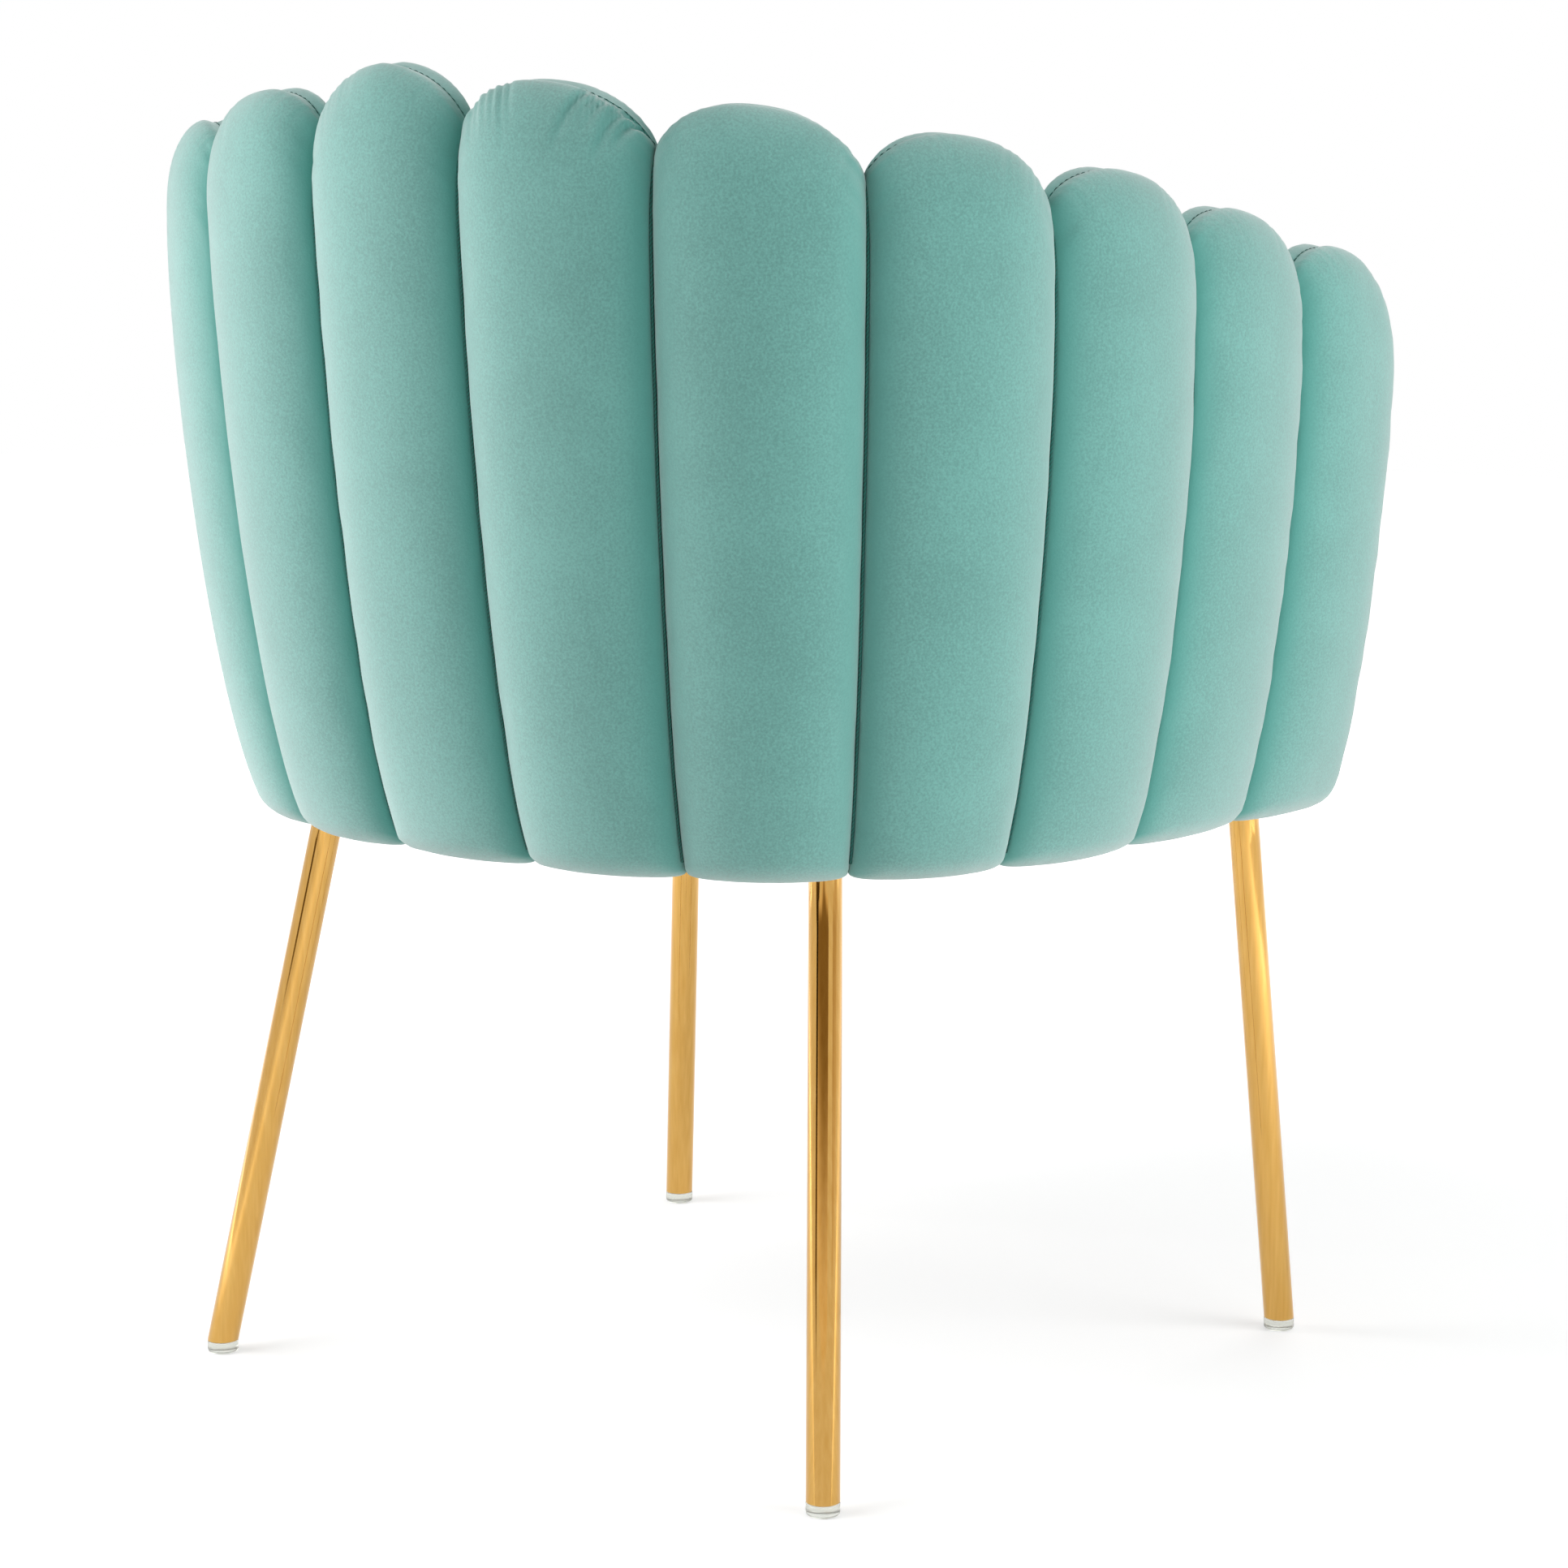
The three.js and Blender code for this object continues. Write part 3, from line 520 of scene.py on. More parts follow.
def skin_faces(rows: int, columns: int, around: bool = False) -> Faces:
    """Number the quads between the points of a grid.

    Args:
        rows: Number of rows.
        columns: Number of points in each row.
        around: Whether the last point of a row joins its first.

    Returns:
        Four point numbers for each quad.
    """
    faces = []
    for here in range(0, (rows - 1) * columns, columns):
        there = here + columns
        for i in range(columns if around else columns - 1):
            j = (i + 1) % columns
            faces.append((here + i, here + j, there + j, there + i))
    return faces


def closed_tube(rings: np.ndarray) -> Skin:
    """Join rings into a closed skin with flat ends."""
    count, size = rings.shape[:2]
    faces = skin_faces(count, size, around=True)
    faces += [tuple(range(size)), tuple(range((count - 1) * size, count * size))]
    return rings.reshape(-1, 3), faces


def looped_tube(rings: np.ndarray) -> Skin:
    """Join rings into a closed skin whose last ring meets its first."""
    count, size = rings.shape[:2]
    faces = skin_faces(count + 1, size, around=True)
    return rings.reshape(-1, 3), [tuple(i % (count * size) for i in face) for face in faces]


def joined(skins: Sequence[Skin]) -> Skin:
    """Put several skins into one."""
    faces: Faces = []
    base = 0
    for points, own_faces in skins:
        faces += [tuple(base + corner for corner in face) for face in own_faces]
        base += len(points)
    return np.vstack([points for points, _ in skins]), faces


def zip_faces(left: Sequence[int], right: Sequence[int], height: np.ndarray) -> Faces:
    """Fill the strip between two lines of points that both run upwards.

    Args:
        left: Point numbers of one line.
        right: Point numbers of the other line.
        height: Height of every point.

    Returns:
        The triangles of the strip.
    """
    faces = []
    i = j = 0
    while i < len(left) - 1 or j < len(right) - 1:
        more_left, more_right = i < len(left) - 1, j < len(right) - 1
        if not more_right or (more_left and height[left[i + 1]] <= height[right[j + 1]]):
            faces.append((left[i], right[j], left[i + 1]))
            i += 1
        else:
            faces.append((left[i], right[j], right[j + 1]))
            j += 1
    return faces


def round_form(place: np.ndarray | float, power: np.ndarray | float) -> np.ndarray:
    """Return a round form, 1 in the middle and 0 at -1 and 1; the higher the power, the fuller."""
    rest = 1 - np.minimum(np.abs(place), 1.0) ** power
    return np.maximum(rest, 0.0) ** (1 / power)


def spline_matrix(knots: int, samples: np.ndarray) -> np.ndarray:
    """Weights of a natural cubic spline through evenly spaced knots from 0 to 1.

    Args:
        knots: Number of knots.
        samples: Places from 0 to 1 where the spline is wanted.

    Returns:
        A matrix that turns values at the knots into values at the samples.
    """
    step = 1 / (knots - 1)
    curve = np.zeros((knots, knots))
    load = np.zeros((knots, knots))
    curve[0, 0] = curve[-1, -1] = 1
    for i in range(1, knots - 1):
        curve[i, i - 1 : i + 2] = (step / 6, 2 * step / 3, step / 6)
        load[i, i - 1 : i + 2] = (1 / step, -2 / step, 1 / step)
    bend = np.linalg.solve(curve, load)
    cell = np.clip((samples / step).astype(int), 0, knots - 2)
    part = samples / step - cell
    weights = np.zeros((len(samples), knots))
    rows = np.arange(len(samples))
    weights[rows, cell] = 1 - part
    weights[rows, cell + 1] = part
    low = ((1 - part) ** 3 - (1 - part)) * step**2 / 6
    high = (part**3 - part) * step**2 / 6
    return weights + low[:, None] * bend[cell] + high[:, None] * bend[cell + 1]


# Cloth


@dataclass(frozen=True)
class ClothPress:
    """Lets stuffing press a sewn cover outwards between its seams."""

    pressure: float = 4.0
    frames: int = 16
    cap_mm: float = 3.0
    stiffness: float = 20.0
    bending: float = 6.0
    quality: int = 6
    mass: float = 0.25

    def settle(self, points: np.ndarray, faces: Faces, held: np.ndarray) -> np.ndarray:
        """Run the cloth and return how far each point has moved.

        Args:
            points: Points of the cover in millimetres.
            faces: Its faces, turned outwards.
            held: True for each point that a seam holds.

        Returns:
            The move of each point in millimetres, no longer than the cap.
        """
        mesh = bpy.data.meshes.new("cover at rest")
        mesh.from_pydata((points * MM).tolist(), [], [list(face) for face in faces])
        cover = bpy.data.objects.new("cover at rest", mesh)
        scene = bpy.context.scene
        scene.collection.objects.link(cover)
        cover.vertex_groups.new(name="seams").add(np.flatnonzero(held).tolist(), 1.0, "REPLACE")
        cloth = cover.modifiers.new("cloth", "CLOTH")
        settings = cloth.settings
        settings.quality = self.quality
        settings.mass = self.mass
        settings.tension_stiffness = self.stiffness
        settings.compression_stiffness = self.stiffness / 10
        settings.bending_stiffness = self.bending
        settings.use_pressure = True
        settings.uniform_pressure_force = self.pressure
        settings.effector_weights.gravity = 0.0
        settings.vertex_group_mass = "seams"
        cloth.collision_settings.use_collision = False
        cloth.point_cache.frame_start = 1
        cloth.point_cache.frame_end = self.frames
        for number in range(1, self.frames + 1):
            scene.frame_set(number)
        settled = cover.evaluated_get(bpy.context.evaluated_depsgraph_get())
        flat = np.empty(len(points) * 3)
        settled.data.vertices.foreach_get("co", flat)
        moved = flat.reshape(-1, 3) / MM - points
        scene.frame_set(1)
        bpy.data.objects.remove(cover)
        bpy.data.meshes.remove(mesh)
        length = np.linalg.norm(moved, axis=1, keepdims=True)
        return moved * np.minimum(1.0, self.cap_mm / np.maximum(length, 1e-6))


# The wall


@dataclass(frozen=True)
class Foot:
    """Places on the wall's seam line at the hem, one for each share."""

    share: np.ndarray
    x: np.ndarray
    y: np.ndarray
    out_x: np.ndarray
    out_y: np.ndarray
    side_share: np.ndarray


@dataclass(frozen=True)
class WallForm:
    """Form of the flared wall, as in the part's source."""

    hem_half_width: float = 272.0
    hem_back_reach: float = 274.0
    bend_centre: float = -49.0
    arm_length: float = 198.0
    plan_power: float = 2.55
    bend_share: float = 0.687
    seams: tuple[float, ...] = (0.079, 0.225, 0.358, 0.496, 0.662, 0.841, 1.0)
    back_flare: float = 63.0
    back_flare_rise: float = 401.0
    arm_flare: float = 42.0
    arm_flare_rise: float = 263.0
    flare_bow: float = 1.47
    flare_tuck: float = 1.57
    hem_height: float = 337.0
    crest_centre: float = 775.0
    crest_fall: float = 108.0
    crest_power: float = 1.17
    scallop: float = 54.0
    scallop_power: float = 2.3
    scallop_width: float = 0.9
    nose_depth: float = 22.0
    nose_drop: float = 62.0

    @property
    def arm_front(self) -> float:
        """Place of the arms' front ends, as y."""
        return self.bend_centre - self.arm_length

    def foot(self, share: np.ndarray | float) -> Foot:
        """Find the foot of the wall for shares from -1 (right arm) over 0 (back) to 1."""
        share = np.atleast_1d(np.asarray(share, float))
        side = np.where(share < 0, -1.0, 1.0)
        reach = np.abs(share)
        turn = np.minimum(reach, self.bend_share) / self.bend_share * RIGHT_ANGLE
        across, back = np.sin(turn), np.abs(np.cos(turn))
        power = self.plan_power
        grown = (across / self.hem_half_width) ** power + (back / self.hem_back_reach) ** power
        radius = grown ** (-1 / power)
        past = np.maximum(reach - self.bend_share, 0) / (1 - self.bend_share) * self.arm_length
        out_x = across ** (power - 1) / self.hem_half_width**power
        out_y = back ** (power - 1) / self.hem_back_reach**power
        size = np.hypot(out_x, out_y)
        x, y = side * radius * across, self.bend_centre + radius * back - past
        return Foot(share, x, y, side * out_x / size, out_y / size, across**2)

    def flare(self, foot: Foot, height: np.ndarray) -> np.ndarray:
        """Return how far the wall has flared out at each foot and height."""
        side = foot.side_share[:, None]
        reach = self.back_flare + (self.arm_flare - self.back_flare) * side
        full = self.back_flare_rise + (self.arm_flare_rise - self.back_flare_rise) * side
        rise = np.clip((height - self.hem_height) / full, 0, 1)
        return reach * (1 - (1 - rise) ** self.flare_bow) ** (1 / self.flare_tuck)

    def point(self, foot: Foot, offset: np.ndarray | float, height: np.ndarray) -> np.ndarray:
        """Place points beside the wall.

        Args:
            foot: Feet of the wall, one for each row.
            offset: Distance outwards from the seam line, for each row and point.
            height: Height of each point.

        Returns:
            An array of rows, points and coordinates in millimetres.
        """
        reach = offset + self.flare(foot, height)
        x = foot.x[:, None] + foot.out_x[:, None] * reach
        y = foot.y[:, None] + foot.out_y[:, None] * reach
        return np.stack([x, y, np.broadcast_to(height, reach.shape)], axis=-1)

    def crest(self, share: np.ndarray) -> np.ndarray:
        """Return the height of the crest line that all scallops follow."""
        return self.crest_centre - self.crest_fall * np.abs(share) ** self.crest_power

    def share_of(self, channel: int, place: np.ndarray) -> np.ndarray:
        """Return the wall's share at a place from -1 to 1 across a channel."""
        far = self.seams[abs(channel)]
        near = self.seams[abs(channel) - 1] if channel else -far
        low, high = (near, far) if channel >= 0 else (-far, -near)
        return low + (high - low) * (np.asarray(place) + 1) / 2

    def is_nose(self, channel: int, place: np.ndarray) -> np.ndarray:
        """Tell which places of an end channel lie towards the arm's front end."""
        return (abs(channel) == CHANNELS) & (np.sign(channel) * np.asarray(place) > 0)

    def top(self, channel: int, place: np.ndarray) -> np.ndarray:
        """Return the height of a channel's crest at each place across it."""
        crest = self.crest(self.share_of(channel, place))
        nose = self.nose_drop * (1 - round_form(place, self.scallop_power))
        scallop = self.scallop * (1 - round_form(place * self.scallop_width, self.scallop_power))
        return crest - np.where(self.is_nose(channel, place), nose, scallop)


@dataclass
class ChannelPad:
    """One stuffed velvet channel on the outer or inner face of the wall."""

    wall: WallForm
    channel: int
    side: Side
    columns: int = 88
    hem_rows: int = 7
    skin_rows: int = 38
    crest_rows: int = 22
    back_rows: int = 9
    press_columns: int = 15
    press_rows: int = 31
    press_width: float = 0.995
    wall_middle: float = -14.0
    crown_power: float = 2.1
    nose_power: float = 3.2
    nose_lip: float = 0.1
    shoulder: float = 50.0
    shoulder_power: float = 2.2
    hem_lift: float = 8.0
    hem_lift_power: float = 4.4
    hem_round: float = 14.0
    hem_round_share: float = 0.75
    deck_height: float = 392.3
    seam_gap: float = 0.3
    valley_depth: float = 3.2
    valley_width: float = 5.0
    lip_depth: float = 5.0
    inner_roll: float = 0.8
    ledge_drop: float = 51.4
    ledge_slope: float = 0.4
    back_lift: float = 0.2
    press: ClothPress = field(default_factory=ClothPress)
    # Reach and strength of the painted shade along the upright seams, the crest seam and the gathers
    crease_width: float = 10.0
    crease_share: float = 0.95
    crest_crease: float = 0.8
    crest_crease_reach: float = 0.1
    full_crease_depth: float = 2.2
    pleat_count: int = 6
    pleat_depth: float = 1.0
    pleat_lean: float = 0.3
    pleat_span: tuple[float, float] = (0.45, 0.92)
    pleat_jitter: float = 0.02
    pleat_widths: tuple[float, float] = (0.026, 0.036)
    pleat_lengths: tuple[float, float] = (0.62, 0.9)
    ripple_depth: float = 0.22
    ripple_place: float = 0.86
    ripple_width: float = 0.13
    ripple_counts: tuple[int, ...] = (5, 8, 13, 19)

    @property
    def number(self) -> str:
        """Number of the channel, counted from the right arm's end."""
        return f"{self.channel + CHANNELS + 1:02d}"

    @property
    def name(self) -> str:
        """Name of the CAD node that this pad stands for."""
        return f"{self.side.word}_channel_{self.number}"

    @property
    def seam(self) -> float:
        """Offset of the pad's lip in the crest seam."""
        return self.wall_middle + self.side.sign * self.seam_gap / 2

    def foot_at(self, place: np.ndarray) -> Foot:
        """Return the wall's feet, drawn in a little at the seams to keep neighbours apart."""
        foot = self.wall.foot(self.wall.share_of(self.channel, place))
        pull = -np.sign(place) * (np.abs(place) > 0.999) * self.seam_gap / 2
        return replace(foot, x=foot.x + foot.out_y * pull, y=foot.y - foot.out_x * pull)

    def past_board(self, place: np.ndarray) -> np.ndarray:
        """Tell which places lie in front of the board's end, in the arm's nose."""
        share = np.abs(self.wall.share_of(self.channel, place))
        distance = (1 - share) / (1 - self.wall.bend_share) * self.wall.arm_length
        return self.wall.is_nose(self.channel, place) & (distance < self.wall.nose_depth)

    def section(self, place: np.ndarray) -> tuple[np.ndarray, np.ndarray, np.ndarray]:
        """Work out the pad's visible skin, from under the hem over the crest into its seam.

        Args:
            place: Places across the channel.

        Returns:
            Offset and height for each place and row, and how near each row is to the crest seam.
        """
        sign, seam = self.side.sign, self.seam
        nose, past = self.wall.is_nose(self.channel, place), self.past_board(place)
        swell = round_form(place, np.where(nose, self.nose_power, self.crown_power))
        edge = np.where(nose, seam + sign * self.nose_lip, self.side.valley)
        skin = edge + (self.side.crown - edge) * swell
        thick = np.abs(skin - np.where(past, seam, self.side.board))
        lift = self.hem_lift * (1 - round_form(place, self.hem_lift_power))
        on_hem = past | (self.side is Side.OUTER)
        bottom = np.where(on_hem, self.wall.hem_height + lift, self.deck_height)[:, None]
        top = self.wall.top(self.channel, place)[:, None]
        turn = np.minimum(self.hem_round_share * thick, self.hem_round)[:, None]
        skin = skin[:, None]

        angle = np.linspace(0, RIGHT_ANGLE, self.hem_rows)
        hem = skin - sign * turn + sign * turn * np.sin(angle)
        hem_height = bottom + turn * (1 - np.cos(angle))
        low, rise = bottom + turn, np.linspace(0, 1, self.skin_rows + 1)[1:]
        skin_height = low + (top - self.shoulder - low) * rise
        angle = np.linspace(0, 1, self.crest_rows + 1)[1:] * RIGHT_ANGLE
        reach = np.cos(angle) ** (2 / self.shoulder_power)
        reach[-1] = 0
        crest = seam + (skin - seam) * reach
        dip = self.valley_depth * np.exp(-(((crest - seam) / self.valley_width) ** 2))
        if self.side is Side.INNER:
            roll = np.clip((seam - crest) / np.maximum(thick, 1)[:, None], 0, 1)
            dip = dip - self.inner_roll * (swell * ~past)[:, None] * np.sin(math.pi * roll)
        climb = np.sin(angle) ** (2 / self.shoulder_power)
        crest_height = top - self.shoulder + self.shoulder * climb - dip
        lip = np.full((len(place), 1), seam)
        lip_height = top - self.valley_depth - self.lip_depth
        offset = np.hstack([hem, np.repeat(skin, self.skin_rows, axis=1), crest, lip])
        height = np.hstack([hem_height, skin_height, crest_height, lip_height])
        below = np.zeros(self.hem_rows + self.skin_rows)
        return offset, height, np.concatenate([below, np.linspace(0, 1, self.crest_rows), [1.0]])

    def pressed(self, place: np.ndarray) -> np.ndarray:
        """Press a coarse copy of the skin with cloth and bring its moves to the fine skin.

        Args:
            place: Places of the fine skin's columns.

        Returns:
            A move in millimetres for each point of the fine skin.
        """
        size = (self.press_columns, self.press_rows)
        coarse = np.linspace(-1, 1, size[0]) * self.press_width
        offset, height, _ = self.section(coarse)
        rows = offset.shape[1]
        foot = self.foot_at(coarse)
        ticks, pick = np.linspace(0, rows - 1, size[1]), np.arange(rows)
        offset, height = (
            np.stack([np.interp(ticks, pick, row) for row in grid]) for grid in (offset, height)
        )
        points = self.wall.point(foot, offset, height).reshape(-1, 3)
        held = np.zeros(size, bool)
        held[[0, -1], :] = True
        held[:, [0, -1]] = True
        faces = skin_faces(*size)
        first = points[list(faces[len(faces) // 2])]
        normal = np.cross(first[1] - first[0], first[2] - first[0])
        middle = size[0] // 2
        outward = np.array([foot.out_x[middle], foot.out_y[middle], 0.0])
        if normal @ outward * self.side.sign < 0:
            faces = [face[::-1] for face in faces]
        table = self.press.settle(points, faces, held.ravel()).reshape(*size, 3)
        across = spline_matrix(size[0], (place + 1) / 2)
        along = spline_matrix(size[1], np.linspace(0, 1, rows))
        return np.einsum("ic,crk,jr->ijk", across, table, along)

    def pleats(self, place: np.ndarray, near: np.ndarray) -> np.ndarray:
        """Return how deep the gathers by the crest seam are at each point.

        The cover is gathered where the crest turns down to its neighbour, most on the side that
        lies towards the arm.
        """
        rng = np.random.default_rng(41 + 7 * (self.channel + CHANNELS))
        down = 1.0 if self.channel >= 0 else -1.0
        depth = np.zeros((len(place), len(near)))
        for side, strength in ((down, 1.0), (-down, 0.45)):
            steps = np.linspace(*self.pleat_span, self.pleat_count)
            steps += rng.uniform(-self.pleat_jitter, self.pleat_jitter, self.pleat_count)
            for spot in side * steps:
                width, length = rng.uniform(*self.pleat_widths), rng.uniform(*self.pleat_lengths)
                line = spot - side * self.pleat_lean * (1 - near)
                fade = np.clip((near - 1 + length) / (0.5 * length), 0, 1)
                ridge = np.exp(-(((place[:, None] - line[None, :]) / width) ** 2))
                depth += strength * rng.uniform(0.6, 1.0) * fade[None, :] * ridge
        return self.pleat_depth * depth * np.clip((1.04 - near) / 0.1, 0, 1)[None, :]

    def ripples(self, place: np.ndarray, rows: int) -> np.ndarray:
        """Return the slight waver of the cover beside its upright seams."""
        rng = np.random.default_rng(907 + self.channel + CHANNELS)
        along = np.linspace(0, 1, rows)
        waver = np.zeros((len(place), rows))
        for side in (-1.0, 1.0):
            by_seam = np.exp(-(((place - side * self.ripple_place) / self.ripple_width) ** 2))
            wave = sum(
                rng.uniform(0.3, 1.0) * np.sin(2 * math.pi * (count * along + rng.uniform()))
                for count in self.ripple_counts
            )
            waver += by_seam[:, None] * wave[None, :]
        return self.ripple_depth * waver

    def build(self) -> np.ndarray:
        """Build the pad as a closed form with its back against the board.

        Returns:
            The points of its crest seam.
        """
        place = closer_at_ends(self.columns + 1)
        offset, height, near = self.section(place)
        skin = self.wall.point(self.foot_at(place), offset, height)
        rows = skin.shape[1]
        skin = skin + self.pressed(place)
        inwards = self.pleats(place, near) + self.ripples(place, rows)
        inwards[:, :2] = 0
        inwards[[0, -1], :] = 0
        skin = skin - self.normals_of(skin) * inwards[..., None]
        rings = np.concatenate([skin, self.back_of(place, height[:, 0])], axis=1)
        count, size = rings.shape[:2]
        points, faces = rings.reshape(-1, 3), skin_faces(count, size, around=True)
        for first in (0, (count - 1) * size):
            front = range(first, first + rows)
            rear = range(first + size - 1, first + rows - 1, -1)
            faces += zip_faces(front, rear, points[:, 2])
        pad = make_piece(self.name, (points, faces), VELVET, sharp_deg=70)
        # The velvet reads this attribute as the strength of its painted seam shade
        crease = pad.data.attributes.new(CREASE_SHADE, "FLOAT", "POINT")
        painted_shade_level = np.zeros((count, size))
        painted_shade_level[:, :rows] = self.painted_shade_level(place, near)
        crease.data.foreach_set("value", painted_shade_level.ravel().tolist())
        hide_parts(self.name)
        return skin[:, -2]

    def painted_shade_level(self, place: np.ndarray, near: np.ndarray) -> np.ndarray:
        """Return how much painted shade the velvet gets at each point, from 0 to 1 in a seam or gather."""
        foot = self.foot_at(np.array([-1.0, 1.0]))
        width = math.hypot(foot.x[1] - foot.x[0], foot.y[1] - foot.y[0])
        aside = np.exp(-((((1 - np.abs(place)) * width / 2) / self.crease_width) ** 2))
        upright = self.crease_share * aside * ~self.wall.is_nose(self.channel, place)
        crest = self.crest_crease * np.exp(-(((1 - near) / self.crest_crease_reach) ** 2))
        depth = self.pleats(place, near) / self.full_crease_depth
        gathers = np.clip(depth, 0, self.crest_crease)
        return np.maximum(np.maximum(upright[:, None], crest[None, :]), gathers)

    def normals_of(self, skin: np.ndarray) -> np.ndarray:
        """Return outward unit normals of the skin's grid."""
        normal = unit(np.cross(np.gradient(skin, axis=0), np.gradient(skin, axis=1)))
        foot = self.foot_at(np.zeros(1))
        outward = np.array([foot.out_x[0], foot.out_y[0], 0.0])
        middle = normal[len(normal) // 2, self.hem_rows + self.skin_rows // 2]
        return normal * (1 if middle @ outward * self.side.sign > 0 else -1)

    def back_of(self, place: np.ndarray, bottom: np.ndarray) -> np.ndarray:
        """Return the pad's back: down the seam's lip, over the board and along it."""
        foot = self.foot_at(place)
        ledge = (self.wall.crest(foot.share) - self.ledge_drop)[:, None]
        bottom = bottom[:, None] + self.back_lift
        drop = bottom + (ledge - bottom) * np.linspace(1, 0, self.back_rows)
        back = np.where(self.past_board(place), self.seam, self.side.board)[:, None]
        lip = np.full_like(ledge, self.seam)
        offset = np.hstack([lip, np.repeat(back, self.back_rows, axis=1)])
        return self.wall.point(foot, offset, np.hstack([ledge + self.ledge_slope, drop]))


@dataclass
class CrestStitching:
    """Thread that closes the seam between an outer and an inner channel along the crest."""

    number: str
    seam: np.ndarray
    stitch: float = 3.4
    gap: float = 1.0
    thread: float = 0.55
    lift: float = 0.35
    end_share: float = 0.35
    rings: int = 7
    sides: int = 6

    def build(self) -> None:
        """Lay short stitches of thread along the seam, all in one object."""
        path = self.seam[2:-2]
        starts = np.arange(1.0, path_length(path)[-1] - self.stitch, self.stitch + self.gap)
        stitches = [self.one_stitch(*along_path(path, (at, at + self.stitch))) for at in starts]
        make_piece(f"crest_stitching_{self.number}", joined(stitches), THREAD_AND_SHADE)

    def one_stitch(self, start: np.ndarray, end: np.ndarray) -> Skin:
        """Arch a thread between two needle holes, thinner at both."""
        across = unit(np.cross(unit(end - start), UP))
        upward = np.cross(across, unit(end - start))
        part = np.linspace(0, 1, self.rings)
        arch = np.sin(math.pi * part)
        centres = start + (end - start) * part[:, None] + upward * (self.lift * arch)[:, None]
        radius = self.thread / 2 * (self.end_share + (1 - self.end_share) * arch)
        return closed_tube(hoops(centres, across, upward, radius, self.sides))


@dataclass
class ValleyShadeCords:
    """Dark cords in the valleys between the channels of one side: painted shade that stands for the deep
    shadow at the valley bottoms, in the sewing thread's finish.
    """

    form: WallForm
    side: Side
    radius: float = 0.9
    sink: float = 4.2
    end_gap: float = 3.0
    climb_rows: int = 40
    crest_rows: int = 12
    sides: int = 8
    facing: tuple[float, float, float] = (0.6, 0.8, 0.0)

    def build(self) -> None:
        """Lay a dark cord of painted shade in each valley from the hem to the crest, all in one object."""
        shade_cords = []
        for channel in range(-CHANNELS, CHANNELS):
            path = self.path(channel)
            ahead = unit(np.gradient(path, axis=0))
            across = unit(np.cross(ahead, self.facing))
            rings = hoops(path, across, np.cross(across, ahead), self.radius, self.sides)
            shade_cords.append(closed_tube(rings))
        make_piece(f"{self.side.word}_channel_seams", joined(shade_cords), THREAD_AND_SHADE)

    def path(self, channel: int) -> np.ndarray:
        """Return the middle line of the valley between a channel and the next one."""
        pad = ChannelPad(self.form, channel, self.side)
        valley = self.side.valley + self.side.sign * self.sink
        far, near = np.array([1.0]), np.array([-1.0])
        top = min(self.form.top(channel, far)[0], self.form.top(channel + 1, near)[0])
        top -= pad.valley_depth + self.end_gap + pad.shoulder
        outer = self.side is Side.OUTER
        bottom = self.form.hem_height + pad.hem_lift if outer else pad.deck_height
        climb = np.linspace(bottom + self.end_gap, top, self.climb_rows)
        angle = np.linspace(0, RIGHT_ANGLE, self.crest_rows + 1)[1:-1]
        rise = np.sin(angle) ** (2 / pad.shoulder_power)
        bend = np.cos(angle) ** (2 / pad.shoulder_power)
        height = np.concatenate([climb, climb[-1] + pad.shoulder * rise])
        inwards = pad.wall_middle + (valley - pad.wall_middle) * bend
        offset = np.concatenate([np.full(len(climb), valley), inwards])
        foot = self.form.foot(self.form.share_of(channel, far))
        return self.form.point(foot, offset[None, :], height[None, :])[0]


@dataclass
class Wall:
    """The whole wall: its outer and inner channels, the stitched seams between them, and dark cords of
    painted shade in the valleys between channels.
    """

    form: WallForm
    fullest: int = -1
    fullest_gather: float = 4.2
    outer_gather: float = 0.8
    inner_gather: float = 0.4

    def build(self) -> None:
        """Build every channel from the right arm's end to the left arm's end."""
        for channel in range(-CHANNELS, CHANNELS + 1):
            # The fullest pad beside the middle one was gathered hardest to close its seam
            depth = self.fullest_gather if channel == self.fullest else self.outer_gather
            outer = ChannelPad(self.form, channel, Side.OUTER, pleat_depth=depth)
            seam = outer.build()
            ChannelPad(self.form, channel, Side.INNER, pleat_depth=self.inner_gather).build()
            CrestStitching(outer.number, seam).build()
        # Dark cords of painted shade go into the valleys between the channels
        for side in Side:
            ValleyShadeCords(self.form, side).build()


# The seat


